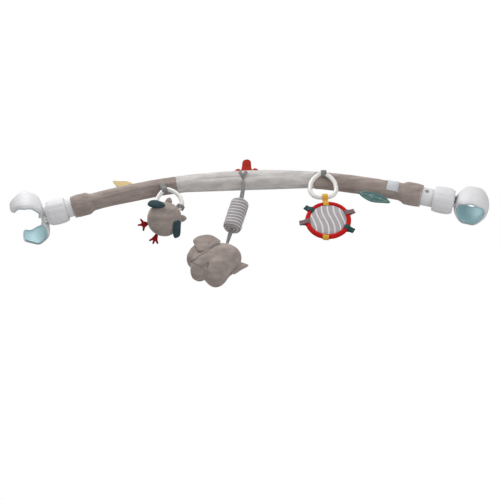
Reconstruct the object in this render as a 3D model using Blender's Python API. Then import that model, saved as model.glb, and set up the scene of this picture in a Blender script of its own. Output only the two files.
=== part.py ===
"""Stroller arch toy: a padded, flexible arch with a screw clamp at each end and three hanging toys.

The arch stands upright in the XZ plane with its crown up and its toys hanging down, so the
side a child sees faces -Y.  The origin is the grip centre of the left clamp.  All sizes are
in metres.  Each sub-part is one object, and a moving one hangs from an empty on its joint.
"""

import math

import bmesh
import bpy
from mathutils import Matrix, Vector

MM = 0.001

# Fits shared by all sub-parts
GAP = 0.3 * MM                    # between touching pieces that stay apart
CUT_OVERRUN = 2.0 * MM            # how far a cutter runs past the face it opens
MERGE_DISTANCE = 0.001 * MM       # points this close are one point
ON_CYLINDER = 0.01 * MM           # points this near a radius lie on it
SMOOTH_BELOW_DEG = 40             # edges sharper than this stay sharp

# Arch: a flexible strip in a foam tube under three velour covers
ARCH_RADIUS = 808 * MM
ARC_HALF_LENGTH = 240 * MM        # the bend ends here and the last stretch is straight
CUFF_END = 276 * MM               # where the cover ends, measured along the arch from the crown
SEAM_FROM_CROWN = 109.4 * MM      # where a taupe cover meets the grey one
COVER_RADIUS = 13.5 * MM
COVER_WALL = 1.3 * MM
COVER_FOLD = 0.7 * MM             # how far the sewn edge turns in
CUFF_RADIUS = 16.2 * MM
CUFF_LENGTH = 30 * MM
CUFF_LEAD = 3 * MM                # the plain cover ends this far before the cuff begins
CUFF_SHARES = ((0.0, 0.33), (0.25, 0.87), (0.5, 1.0), (0.83, 0.91))  # of its length and swell
STRIP_WIDTH = 12 * MM
STRIP_THICKNESS = 2.4 * MM
STRIP_IN_SOCKET = 28 * MM
ARCH_STEPS = 24
BAR_SIDES = 14

# Clamp sizes along its own axis, which runs outward from the cuff end
SOCKET_RADIUS = 14 * MM
SOCKET_NOSE_RADIUS = 11.4 * MM
SOCKET_NOSE_LENGTH = 7.5 * MM
SOCKET_INSIDE = 33.7 * MM         # how far the socket reaches into the cuff
SOCKET_LENGTH_OUT = 20 * MM       # and how far it stands out of it
SOCKET_EDGE = 0.8 * MM
STEM_RADIUS = 7.7 * MM
STEM_INSIDE = 1.7 * MM
SCREW_FROM_CUFF = 6.8 * MM
SCREW_RADIUS = 1.8 * MM
SCREW_HEAD_RADIUS = 2.9 * MM
SCREW_HEAD_HEIGHT = 2.0 * MM
SCREW_SLOT_DEPTH = 1.0 * MM
SCREW_SLOT_WIDTH = 0.9 * MM
SCREW_TURN_DEG = 9                # how the screw's slot happens to lie
GROOVE_DEPTH = 2.0 * MM
GROOVE_WIDTH = 4.6 * MM
THREAD_RADIUS = 14.8 * MM         # mean radius of the carrier's thread
THREAD_DEPTH = 1.1 * MM
THREAD_PITCH = 8 * MM             # travel of the collar in one turn
THREAD_PLAY = 0.7 * MM
THREAD_LENGTH = 16.5 * MM
THREAD_STEPS = 10
COLLAR_LENGTH = 28.5 * MM
COLLAR_RADIUS = 20.25 * MM
COLLAR_END_RADIUS = 18.6 * MM
COLLAR_EDGE = 1.4 * MM
COLLAR_BARREL_SHARE = 0.25        # share of the length over which the barrel rises
COLLAR_EDGE_SHARE = 0.6           # how far the barrel has risen at its edge
COLLAR_THREAD_START = 8 * MM
COLLAR_THREAD_LENGTH = 14 * MM
COLLAR_THREAD_STEPS = 8
COLLAR_LOBES = 8
COLLAR_LOBE_DEPTH = 0.35 * MM
COLLAR_BACK_OPEN = 10 * MM        # collar's back edge with the jaws open
CLAMP_SIDES = 20
SCREW_SIDES = 12
LUG_STEPS = 8                      # round end of a lug
THRUST_RADIUS = 17.3 * MM
THRUST_BORE_RADIUS = 14.6 * MM
THRUST_THICKNESS = 3.5 * MM
THRUST_SEAT_DEPTH = 1.7 * MM
PIN_FROM_CUFF = 44 * MM
PIN_RADIUS = 2.0 * MM
PIN_HALF_LENGTH = 13.6 * MM
KNUCKLE_RADIUS = 4.5 * MM
KNUCKLE_HALF_WIDTH = 5.15 * MM    # the middle knuckle; the others lie outside it
KNUCKLE_OUTER = 10.0 * MM
CHEEK_THICKNESS = 3.0 * MM

# Jaws: two scoops that close into a hollow barrel around the tube that they grip
GRIP_FROM_PIN = 31 * MM
JAW_RADIUS = 25.5 * MM
JAW_EDGE_RADIUS = 23 * MM
JAW_END_HALF = 11.0 * MM          # half the width at both ends of a jaw
JAW_SWELL = 8.5 * MM              # how much wider the middle is
JAW_WAVE = 1.0 * MM
JAW_WAVES = 3
JAW_WALL = 2.4 * MM
LINER_WALL = 1.8 * MM
LINER_GAP = 0.5 * MM              # wide enough for the twisted faces of the wavy rims
LINER_INSET = 0.6 * MM            # liner's edge back from the rim of the shell
JAW_OPEN_DEG = 36
JAW_STEPS = 12
JAW_WIDTH_STEPS = 6
JAW_NECK_DEPTH = 5.2 * MM
JAW_NECK_REACH = 8.3 * MM

# Where the two clamps stand in their turn: the left one is open, the right one closed
LEFT_SWIVEL_DEG = 8
RIGHT_SWIVEL_DEG = -8

# Rings, loops and tabs of the two ring toys
WIRE_RADIUS = 3.0 * MM
RING_RADIUS = 21.0 * MM           # centreline of the round top half
RING_DROP = 26.0 * MM             # from the top half's centre to the bottom's centreline
RING_SQUARE_SHARE = 0.72          # below 1 the bottom half is squarer than an ellipse
RING_TAPER_SHARE = 0.10           # how much narrower its top is than its middle
RING_STEPS = 28
RING_SIDES = 8
RIBBON_THICKNESS = 0.9 * MM
LOOP_WIDTH = 8.5 * MM
LOOP_HOLE_RADIUS = 4.1 * MM       # clears the wire's curve over the ribbon's width
LOOP_STEPS = 10
LOOP_TAIL_SPREAD = 2.5            # first step past the tail, as a multiple of its own angle
SEWN_RADIUS = COVER_RADIUS + GAP + RIBBON_THICKNESS

# Owl
OWL_LOOP_FROM_CROWN = -131 * MM
OWL_LOOP_ANGLE_DEG = -22          # where the loop is sewn, from the front towards the top
OWL_RING_FRONT = 17.0 * MM        # ring plane in front of the arch plane
OWL_LOOP_DROP = 16.0 * MM         # from the sewn line to the ring's wire
OWL_LOOP_LEAN_DEG = 20
OWL_RING_LEAN_DEG = 12
OWL_TAB_ON_RING_DEG = 132
OWL_TAB_FORWARD_DEG = 50
OWL_TAB_REACH = 6.5 * MM
OWL_TAB_WIDTH = 5.5 * MM
OWL_RADIUS = 27.0 * MM
OWL_THICKNESS = 50 * MM
OWL_HEAD_SHARE = 0.05             # how much narrower the head is than the middle
OWL_CENTRE_X = -115.0 * MM
OWL_CENTRE_Z = -100.3 * MM
OWL_FRONT = 34.0 * MM
OWL_LEAN_DEG = 58                 # the owl's crown leans to the right, nods forward and spins
OWL_NOD_DEG = 20
OWL_SPIN_DEG = 35
OWL_EAR_DEG = 37                  # turns from the owl's crown
OWL_WING_DEG = 75
OWL_WING_FORWARD_DEG = 32
OWL_WING_SLANT_DEG = 35
OWL_WING_LIFT_DEG = 14
OWL_FOOT_DEG = 24                 # turn from straight below the owl
OWL_EAR_RADIUS = 6.0 * MM
OWL_EAR_HEIGHT = 6.5 * MM
OWL_TUFT_POINT_SHARE = 0.5        # how much a tuft narrows towards its tip
OWL_WING_LENGTH = 30 * MM
OWL_WING_WIDTH = 14 * MM
OWL_WING_THICKNESS = 4.0 * MM
OWL_FOOT_THICKNESS = 2.2 * MM
OWL_TOE_LENGTH = 12 * MM
OWL_TOE_WIDTH = 3.4 * MM
OWL_LEG_LENGTH = 6 * MM
OWL_TOE_SPREAD_DEG = 50
OWL_TOE_ROOT_SHARE = 2.4          # where a toe begins, in half toe widths from the ankle
OWL_TOE_TIP_SHARE = 0.8           # width of a toe's tip against its root

# Elephant on its striped roll
STRAP_WIDTH = 7.5 * MM
STRAP_LOWER_WIDTH = 6.0 * MM
STRAP_THICKNESS = 1.8 * MM        # two plies of ribbon
STRAP_X = -1.4 * MM
STRAP_TOP = 4.0 * MM              # above the bar's centreline at the crown
ELEPHANT_FRONT = 15.0 * MM
ROLL_X = -10.0 * MM
ROLL_Z = -84.5 * MM
ROLL_LENGTH = 50 * MM
ROLL_RADIUS = 15.0 * MM
ROLL_CORE_RADIUS = 12.5 * MM
ROLL_END_ROUND = 4.0 * MM
ROLL_END_HOLE_RADIUS = 2.5 * MM
ROLL_ROUND_SHARE = 0.3            # where the rounded end's middle point lies
ROLL_LEAN_DEG = 11.7
ROLL_SIDES = 16
BODY_X = -31.0 * MM
BODY_Z = -162.0 * MM
BODY_LENGTH = 62 * MM
BODY_HEIGHT = 46 * MM
BODY_THICKNESS = 42 * MM
BODY_HANG_X = 6.0 * MM            # the strap is sewn this far behind the body's middle
BODY_BELLY_SHARE = 0.10           # how much the belly and the back drop towards the rear
BODY_BACK_SHARE = 0.05
BODY_RUMP_SHARE = 0.08
HEAD_X = -60.0 * MM
HEAD_Z = -154.5 * MM
HEAD_LENGTH = 44 * MM
HEAD_HEIGHT = 40 * MM
HEAD_THICKNESS = 34 * MM
TRUNK_RADIUS = 8.0 * MM
TRUNK_LENGTH = 30 * MM
TRUNK_AHEAD = 15.0 * MM           # trunk's middle ahead of the head's, and below it
TRUNK_DROP = 12.6 * MM
TRUNK_LEAN_DEG = 22
EAR_LENGTH = 44 * MM
EAR_HEIGHT = 30 * MM
EAR_THICKNESS = 5.0 * MM
EAR_SUNK = 0.25                   # share of its thickness that the ear stands off the head
EAR_BEHIND = 6.5 * MM             # ear's middle behind the head's, and above it
EAR_RAISE = 12.0 * MM
EAR_LEAN_DEG = -12
EAR_LOBE_SHARE = 0.18             # how much higher the ear's rear is than its middle
LEG_IN_BODY = 17 * MM             # how far a leg's form reaches above its sewn line
LEG_SOLE_SHARE = 0.86             # share of a leg's half length at which its sole begins
LEG_CROWN_SHARE = 0.25
LEG_CREASE_SHARE = 0.45           # how deep the crease between a pair of legs is
LEG_CREASE_WIDTH_SHARE = 0.3
LEG_SEWN_Z = -168 * MM
LEG_PAIRS = (                     # name, place along X, sole's height, radius, depth of the pair, lean
    ("front", -62.0 * MM, -195 * MM, 13.0 * MM, 38 * MM, 8),
    ("hind", -32.0 * MM, -203 * MM, 16.0 * MM, 40 * MM, -5),
)
TAIL_LENGTH = 15 * MM
TAIL_WIDTH = 9 * MM
TAIL_THICKNESS = 2.4 * MM
TAIL_DROP = 12.0 * MM             # tail's root below the body's middle

# Striped disc in a red rim
DISC_LOOP_FROM_CROWN = 123.5 * MM
DISC_LOOP_ANGLE_DEG = 45
DISC_RING_FRONT = 19.0 * MM
DISC_RING_DROP = 0.6 * MM
DISC_RADIUS = 34.0 * MM
DISC_RIM_RADIUS = 3.6 * MM
DISC_PAD_THICKNESS = 6.0 * MM
DISC_X = 127.0 * MM
DISC_Z = -99.5 * MM
DISC_SIDES = 28
DISC_TAB_WIDTH = 9.0 * MM
DISC_TAB_LENGTH = 8.5 * MM
DISC_TAB_THICKNESS = 1.8 * MM
DISC_TABS = (                     # node, turn from the top in degrees clockwise, material
    ("disc_tab_green_left", -52, "ribbon_green"),
    ("disc_tab_green_right", 120, "ribbon_green"),
    ("disc_tab_mauve_left", -95, "ribbon_mauve"),
    ("disc_tab_mauve_right", 68, "ribbon_mauve"),
)
DISC_FLAP_DEG = 188               # the bottom tab lies flat on the front of the rim
DISC_PAD_SHARES = ((1.0, 0.0), (0.9, 0.5), (0.6, 0.85), (0.25, 1.0))  # of half thickness and radius

# Felt shapes and the care label on the bar
FELT_THICKNESS = 2.0 * MM
FLOWER_HEIGHT = 27 * MM
FLOWER_HALF_WIDTH = 18 * MM
FLOWER_DOME_RADIUS = 7.5 * MM
FLOWER_X = 1.5 * MM
FLOWER_SIDE_SHARES = ((-1.0, 0.12), (-0.75, 0.32), (-0.5, 0.30))  # of half width and height
FLOWER_FOOT_SHARE = 0.6
FLOWER_STEPS = 10
YELLOW_LEAF_FROM_CROWN = -191 * MM
YELLOW_LEAF_LENGTH = 33 * MM
YELLOW_LEAF_HEIGHT = 21 * MM
YELLOW_LEAF_SHARES = (            # of its length and height
    (-0.44, 1.0), (-0.1, 0.86), (0.2, 0.66), (0.5, 0.40), (0.36, 0), (-0.2, 0), (-0.38, 0.42),
)
GREEN_LEAF_SHARES = (
    (-0.5, -0.15), (-0.36, 0), (-0.1, 0), (0.16, -0.06), (0.36, -0.3),
    (0.5, -0.62), (0.3, -0.82), (-0.05, -1.0), (-0.36, -0.62),
)
GREEN_LEAF_FROM_CROWN = 206 * MM
GREEN_LEAF_LENGTH = 50 * MM
GREEN_LEAF_HEIGHT = 22 * MM
GREEN_LEAF_ANGLE_DEG = -62
LABEL_FROM_CROWN = 231 * MM
LABEL_WIDTH = 19 * MM
LABEL_THICKNESS = 0.6 * MM
LABEL_TOP_DEG = 56                # angles from the bar's front towards its top
LABEL_BOTTOM_DEG = -50
LABEL_STEPS = 8

# Colour, roughness and metallic value of each finish
FINISHES = {
    "velour_taupe": ((0.30, 0.25, 0.23), 0.95, 0.0),
    "velour_grey": ((0.46, 0.44, 0.41), 0.95, 0.0),
    "foam": ((0.80, 0.78, 0.72), 1.0, 0.0),
    "strip_plastic": ((0.10, 0.10, 0.11), 0.5, 0.0),
    "plastic_white": ((0.76, 0.76, 0.78), 0.45, 0.0),
    "plastic_ring": ((0.82, 0.81, 0.78), 0.30, 0.0),
    "steel": ((0.55, 0.55, 0.56), 0.35, 1.0),
    "liner_aqua": ((0.36, 0.58, 0.62), 0.6, 0.0),
    "ribbon_grey": ((0.16, 0.16, 0.155), 0.8, 0.0),
    "ribbon_green": ((0.02, 0.10, 0.08), 0.8, 0.0),
    "ribbon_mauve": ((0.16, 0.10, 0.10), 0.8, 0.0),
    "ribbon_yellow": ((0.75, 0.42, 0.04), 0.8, 0.0),
    "fabric_slate": ((0.04, 0.08, 0.10), 0.9, 0.0),
    "felt_wine": ((0.18, 0.003, 0.008), 0.95, 0.0),
    "felt_red": ((0.36, 0.025, 0.012), 0.95, 0.0),
    "felt_yellow": ((0.75, 0.60, 0.20), 0.95, 0.0),
    "felt_green": ((0.05, 0.16, 0.15), 0.95, 0.0),
    "fabric_striped": ((0.40, 0.37, 0.36), 0.9, 0.0),
    "fabric_red": ((0.55, 0.01, 0.008), 0.7, 0.0),
    "label_white": ((0.80, 0.81, 0.84), 0.8, 0.0),
    "filling": ((0.80, 0.80, 0.78), 1.0, 0.0),
}


# Scene helpers

def clear_scene():
    """Remove whatever the file holds, so that the model is built from nothing."""
    for item in list(bpy.data.objects):
        bpy.data.objects.remove(item, do_unlink=True)


def finish_of(name):
    """Return the named finish as a material, made on first use."""
    found = bpy.data.materials.get(name)
    if found:
        return found
    colour, roughness, metallic = FINISHES[name]
    made = bpy.data.materials.new(name)
    made.use_nodes = True
    made.diffuse_color = (*colour, 1.0)
    shader = made.node_tree.nodes["Principled BSDF"]
    shader.inputs["Base Color"].default_value = (*colour, 1.0)
    shader.inputs["Roughness"].default_value = roughness
    shader.inputs["Metallic"].default_value = metallic
    return made


def empty(name, parent=None, place=None):
    """Add an empty that carries sub-parts, in its parent's frame."""
    holder = bpy.data.objects.new(name, None)
    bpy.context.collection.objects.link(holder)
    holder.parent = parent
    holder.matrix_local = place or Matrix.Identity(4)
    return holder


def add_piece(name, shape, finish, parent, place=None, flat=False):
    """Turn a bmesh into a named object with its finish, placed in its parent's frame."""
    bmesh.ops.remove_doubles(shape, verts=shape.verts, dist=MERGE_DISTANCE)
    bmesh.ops.recalc_face_normals(shape, faces=shape.faces)
    mesh = bpy.data.meshes.new(name)
    shape.to_mesh(mesh)
    shape.free()
    if not flat:
        mesh.shade_smooth()
        mesh.set_sharp_from_angle(angle=math.radians(SMOOTH_BELOW_DEG))
    piece = bpy.data.objects.new(name, mesh)
    bpy.context.collection.objects.link(piece)
    piece.parent = parent
    piece.matrix_local = place or Matrix.Identity(4)
    piece.data.materials.append(finish_of(finish))
    return piece


def add_tool(name, shape, parent, place=None):
    """Add a cutter or a filler: a wire guide that isn't part of the model."""
    tool = add_piece(name, shape, "filling", parent, place, flat=True)
    tool.hide_render = True
    tool.display_type = "WIRE"
    return tool


def combine(piece, tool, operation):
    """Cut the piece with the tool, or join the tool to it."""
    step = piece.modifiers.new(tool.name, "BOOLEAN")
    step.operation = operation
    step.solver = "EXACT"
    step.object = tool


# Shape helpers, each of which returns a bmesh

def turned(profile, sides, closed=False):
    """Spin a profile of (along X, radius) points about the X axis into a solid."""
    shape = bmesh.new()
    row = [shape.verts.new((along, 0, radius)) for along, radius in profile]
    edges = [shape.edges.new(pair) for pair in zip(row, row[1:])]
    if closed:
        edges.append(shape.edges.new((row[-1], row[0])))
    bmesh.ops.spin(
        shape, geom=row + edges, axis=(1, 0, 0), cent=(0, 0, 0), angle=2 * math.pi,
        steps=sides, use_merge=True, use_duplicate=False,
    )
    bmesh.ops.remove_doubles(shape, verts=shape.verts, dist=MERGE_DISTANCE)
    return shape


def threaded(shape, start, length, radius, depth, fade):
    """Press a one-start helical wave into the points that lie on the given cylinder."""
    for vert in shape.verts:
        along, out = vert.co.x - start, math.hypot(vert.co.y, vert.co.z)
        if -MERGE_DISTANCE < along < length + MERGE_DISTANCE and abs(out - radius) < ON_CYLINDER:
            turn = math.atan2(vert.co.z, vert.co.y)
            wave = math.cos(2 * math.pi * vert.co.x / THREAD_PITCH - turn)
            strength = min(1, along / fade, (length - along) / fade) if fade else 1
            grown = (out + wave * strength * depth / 2) / out
            vert.co.y *= grown
            vert.co.z *= grown
    return shape


def lofted(rings, closed=False):
    """Skin a row of rings with the same number of points; the ends are capped unless closed."""
    shape = bmesh.new()
    rows = [[shape.verts.new(point) for point in ring] for ring in rings]
    count = len(rows[0])
    pairs = list(zip(rows, rows[1:]))
    if closed:
        pairs.append((rows[-1], rows[0]))
    for low, high in pairs:
        for i in range(count):
            j = (i + 1) % count
            shape.faces.new((low[i], low[j], high[j], high[i]))
    if not closed:
        shape.faces.new(rows[0])
        shape.faces.new(reversed(rows[-1]))
    return shape


def slab(size, centre=(0, 0, 0)):
    """Return a box of the given size."""
    shape = bmesh.new()
    place = Matrix.Translation(centre) @ Matrix.Diagonal((*size, 1))
    bmesh.ops.create_cube(shape, size=1, matrix=place)
    return shape


def blob(size, centre=(0, 0, 0), sides=16, rows=10, turn=None, form=None):
    """Return an ellipsoid of the given overall size; form may move its unit points first."""
    shape = bmesh.new()
    bmesh.ops.create_uvsphere(shape, u_segments=sides, v_segments=rows, radius=1)
    for vert in shape.verts:
        point = form(vert.co.copy()) if form else vert.co.copy()
        vert.co = Vector(side * share / 2 for side, share in zip(size, point))
    place = Matrix.Translation(centre) @ (turn or Matrix.Identity(4))
    bmesh.ops.transform(shape, matrix=place, verts=shape.verts)
    return shape


def plate(outline, thickness):
    """Extrude a closed outline of (x, z) points into a sheet centred on Y = 0, edges bevelled."""
    shape = bmesh.new()
    face = shape.faces.new([shape.verts.new((x, -thickness / 2, z)) for x, z in outline])
    made = bmesh.ops.extrude_face_region(shape, geom=[face])
    moved = [item for item in made["geom"] if isinstance(item, bmesh.types.BMVert)]
    bmesh.ops.translate(shape, vec=(0, thickness, 0), verts=moved)
    return shape


def moved(shape, place):
    """Place a bmesh by a matrix and return it."""
    bmesh.ops.transform(shape, matrix=place, verts=shape.verts)
    return shape


def turn_about(axis, degrees):
    """Return a rotation about a local axis."""
    return Matrix.Rotation(math.radians(degrees), 4, axis)


# Arch

def station(along):
    """Return the centreline's point and its turn from level, at a length from the crown."""
    bent = max(-ARC_HALF_LENGTH, min(ARC_HALF_LENGTH, along))
    turn = bent / ARCH_RADIUS
    rest = along - bent
    x = ARCH_RADIUS * math.sin(turn) + rest * math.cos(turn)
    z = ARCH_RADIUS * (math.cos(turn) - 1) - rest * math.sin(turn)
    return Vector((x, 0, z)), turn


def bar_frame(along):
    """Return the frame on the centreline: X along the bar, Z outward, Y to the back."""
    point, turn = station(along)
    return Matrix.Translation(point) @ Matrix.Rotation(turn, 4, "Y")


def bar_ring(along, radius, sides=BAR_SIDES):
    """Return a ring of points round the centreline."""
    frame = bar_frame(along)
    steps = [2 * math.pi * i / sides for i in range(sides)]
    return [frame @ Vector((0, radius * math.cos(a), radius * math.sin(a))) for a in steps]


def strip_ring(along, grow):
    """Return a ring round the oval strip, or round its channel when grown."""
    frame = bar_frame(along)
    half_width = STRIP_WIDTH / 2 + grow
    half_thickness = STRIP_THICKNESS / 2 + grow
    steps = [2 * math.pi * i / BAR_SIDES for i in range(BAR_SIDES)]
    return [frame @ Vector((0, half_width * math.cos(a), half_thickness * math.sin(a))) for a in steps]


def spread(start, end, steps):
    """Return evenly spaced values from start to end."""
    return [start + (end - start) * i / steps for i in range(steps + 1)]


def sleeve(outer, inner):
    """Skin a tube from (along, radius) rows for its outside and its inside."""
    rings = [bar_ring(along, radius) for along, radius in outer]
    rings += [bar_ring(along, radius) for along, radius in reversed(inner)]
    return lofted(rings, closed=True)


def build_arch(root):
    """Build the strip, the foam and the three covers."""
    foam_radius = COVER_RADIUS - COVER_WALL - GAP
    foam_end = CUFF_END - SOCKET_INSIDE - GAP
    strip_end = CUFF_END - SOCKET_INSIDE + STRIP_IN_SOCKET

    ends = spread(-foam_end, foam_end, ARCH_STEPS)
    core = lofted([strip_ring(s, 0) for s in [-strip_end] + ends + [strip_end]])
    add_piece("arch_core", core, "strip_plastic", root)
    foam = [bar_ring(s, foam_radius) for s in ends] + [strip_ring(s, GAP) for s in reversed(ends)]
    add_piece("arch_foam", lofted(foam, closed=True), "foam", root)

    inside = COVER_RADIUS - COVER_WALL
    grey_end = SEAM_FROM_CROWN - GAP / 2
    rows = spread(-grey_end, grey_end, ARCH_STEPS // 2)
    outer_rows = [(-grey_end, COVER_RADIUS - COVER_FOLD)]
    outer_rows += [(-grey_end + COVER_FOLD, COVER_RADIUS)]
    outer_rows += [(s, COVER_RADIUS) for s in rows[1:-1]]
    outer_rows += [(grey_end - COVER_FOLD, COVER_RADIUS)]
    outer_rows += [(grey_end, COVER_RADIUS - COVER_FOLD)]
    add_piece("cover_centre", sleeve(outer_rows, [(s, inside) for s in rows]), "velour_grey", root)

    cuff_start = CUFF_END - CUFF_LENGTH
    cuff_inside = (SOCKET_RADIUS + GAP) / math.cos(math.pi / BAR_SIDES)
    nose_end = CUFF_END - SOCKET_INSIDE + SOCKET_NOSE_LENGTH
    seam = SEAM_FROM_CROWN + GAP / 2
    plain = spread(seam, cuff_start - CUFF_LEAD, ARCH_STEPS // 4)
    swell = CUFF_RADIUS - COVER_RADIUS
    outer_rows = [(seam, COVER_RADIUS - COVER_FOLD), (seam + COVER_FOLD, COVER_RADIUS)]
    outer_rows += [(s, COVER_RADIUS) for s in plain[1:]]
    outer_rows += [(cuff_start + CUFF_LENGTH * far, COVER_RADIUS + swell * out) for far, out in CUFF_SHARES]
    outer_rows += [(CUFF_END - COVER_FOLD, CUFF_RADIUS - COVER_FOLD)]
    outer_rows += [(CUFF_END, CUFF_RADIUS - 2 * COVER_FOLD)]
    inner_rows = [(s, inside) for s in plain]
    inner_rows += [(foam_end, inside), (nose_end - GAP, cuff_inside), (CUFF_END, cuff_inside)]
    for side, sign in (("left", -1), ("right", 1)):
        shape = sleeve([(sign * s, r) for s, r in outer_rows], [(sign * s, r) for s, r in inner_rows])
        add_piece("cover_" + side, shape, "velour_taupe", root)


# Clamps

def clamp_frame(sign):
    """Return a clamp's frame: X outward along the bar's end, Z up in the arch's plane."""
    point, turn = station(sign * CUFF_END)
    frame = Matrix.Translation(point) @ Matrix.Rotation(turn, 4, "Y")
    return frame if sign > 0 else frame @ Matrix.Rotation(math.pi, 4, "Z")


def rounded_bar(half_width, length, round_radius, from_w, to_w, start):
    """Return a lug: a plate with a round end at X = length, between two heights along Z."""
    points = [(start, -half_width)]
    for i in range(LUG_STEPS + 1):
        angle = math.pi * (i / LUG_STEPS - 0.5)
        points.append((length + round_radius * math.cos(angle), round_radius * math.sin(angle)))
    points.append((start, half_width))
    low = [Vector((x, y, from_w)) for x, y in points]
    high = [Vector((x, y, to_w)) for x, y in points]
    return lofted([low, high])


def pin_cutter(radius, half_length):
    """Return a round bar along Z for the hinge pin or its hole."""
    ends = ((-half_length, 0), (-half_length, radius), (half_length, radius), (half_length, 0))
    shape = turned(ends, CLAMP_SIDES // 2)
    return moved(shape, turn_about("Y", -90))


def build_socket(side, holder, front):
    """Build the socket that the bar ends in, and the screw that keeps the carrier in it."""
    bore = STEM_RADIUS + GAP
    bore_floor = -STEM_INSIDE - GAP
    profile = [
        (-SOCKET_INSIDE, 0),
        (-SOCKET_INSIDE, SOCKET_NOSE_RADIUS),
        (-SOCKET_INSIDE + SOCKET_NOSE_LENGTH, SOCKET_RADIUS),
        (SOCKET_LENGTH_OUT - SOCKET_EDGE, SOCKET_RADIUS),
        (SOCKET_LENGTH_OUT, SOCKET_RADIUS - SOCKET_EDGE),
        (SOCKET_LENGTH_OUT, bore),
        (bore_floor, bore),
        (bore_floor, 0),
    ]
    body = moved(turned(profile, CLAMP_SIDES), turn_about("X", SCREW_TURN_DEG))
    socket = add_piece(side + "_socket", body, "plastic_white", holder)
    slot_start = -SOCKET_INSIDE - CUT_OVERRUN
    slot_end = -SOCKET_INSIDE + STRIP_IN_SOCKET + GAP
    slot = slab(
        (slot_end - slot_start, STRIP_WIDTH + 2 * GAP, STRIP_THICKNESS + 2 * GAP),
        ((slot_start + slot_end) / 2, 0, 0),
    )
    combine(socket, add_tool(side + "_strip_slot", slot, holder), "DIFFERENCE")

    head_top = SOCKET_RADIUS - GAP
    head_floor = head_top - SCREW_HEAD_HEIGHT
    tip = STEM_RADIUS - GROOVE_DEPTH + GAP
    hole = [
        (tip / 2, 0),
        (tip / 2, SCREW_RADIUS + GAP),
        (head_floor - GAP, SCREW_RADIUS + GAP),
        (head_floor - GAP, SCREW_HEAD_RADIUS + GAP),
        (SOCKET_RADIUS + CUT_OVERRUN, SCREW_HEAD_RADIUS + GAP),
        (SOCKET_RADIUS + CUT_OVERRUN, 0),
    ]
    outward = Matrix.Translation((SCREW_FROM_CUFF, 0, 0)) @ turn_about("Z", -90 * front)
    outward = outward @ turn_about("X", SCREW_TURN_DEG)
    combine(socket, add_tool(side + "_screw_hole", turned(hole, SCREW_SIDES), holder, outward), "DIFFERENCE")
    screw_profile = [
        (tip, 0),
        (tip, SCREW_RADIUS),
        (head_floor, SCREW_RADIUS),
        (head_floor, SCREW_HEAD_RADIUS),
        (head_top, SCREW_HEAD_RADIUS),
        (head_top, 0),
    ]
    screw = add_piece(side + "_socket_screw", turned(screw_profile, SCREW_SIDES), "steel", holder, outward)
    groove = slab(
        (SCREW_SLOT_DEPTH + CUT_OVERRUN, SCREW_SLOT_WIDTH, 2 * SCREW_HEAD_RADIUS + CUT_OVERRUN),
        (head_top - (SCREW_SLOT_DEPTH - CUT_OVERRUN) / 2, 0, 0),
    )
    combine(screw, add_tool(side + "_screw_slot", groove, holder, outward), "DIFFERENCE")


def build_carrier(side, swivel):
    """Build the carrier: a stem in the socket, a threaded barrel and a fork for the hinge pin."""
    barrel_start = SOCKET_LENGTH_OUT + GAP
    barrel_end = barrel_start + THREAD_LENGTH
    root = THREAD_RADIUS - THREAD_DEPTH / 2
    groove_start = SCREW_FROM_CUFF - GROOVE_WIDTH / 2
    groove_end = SCREW_FROM_CUFF + GROOVE_WIDTH / 2
    groove_radius = STEM_RADIUS - GROOVE_DEPTH
    profile = [
        (-STEM_INSIDE, 0),
        (-STEM_INSIDE, STEM_RADIUS),
        (groove_start, STEM_RADIUS),
        (groove_start, groove_radius),
        (groove_end, groove_radius),
        (groove_end, STEM_RADIUS),
        (barrel_start, STEM_RADIUS),
        (barrel_start, root),
    ]
    rows = spread(barrel_start + THREAD_DEPTH / 2, barrel_end - THREAD_DEPTH / 2, THREAD_STEPS)
    profile += [(s, THREAD_RADIUS) for s in rows]
    profile += [(barrel_end, root), (barrel_end, 0)]
    shape = turned(profile, CLAMP_SIDES)
    threaded(shape, rows[0], rows[-1] - rows[0], THREAD_RADIUS, THREAD_DEPTH, 0)
    carrier = add_piece(side + "_jaw_carrier", shape, "plastic_white", swivel)
    inner = KNUCKLE_OUTER + GAP
    for name, sign in (("upper", 1), ("lower", -1)):
        cheek = rounded_bar(
            KNUCKLE_RADIUS, PIN_FROM_CUFF, KNUCKLE_RADIUS,
            min(sign * inner, sign * (inner + CHEEK_THICKNESS)),
            max(sign * inner, sign * (inner + CHEEK_THICKNESS)),
            barrel_end - CUT_OVERRUN,
        )
        combine(carrier, add_tool(side + "_cheek_" + name, cheek, swivel), "UNION")
    at_pin = Matrix.Translation((PIN_FROM_CUFF, 0, 0))
    hole = pin_cutter(PIN_RADIUS + GAP, SOCKET_RADIUS + CUT_OVERRUN)
    combine(carrier, add_tool(side + "_cheek_hole", hole, swivel, at_pin), "DIFFERENCE")
    add_piece(side + "_jaw_pin", pin_cutter(PIN_RADIUS, PIN_HALF_LENGTH), "steel", swivel, at_pin)


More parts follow.
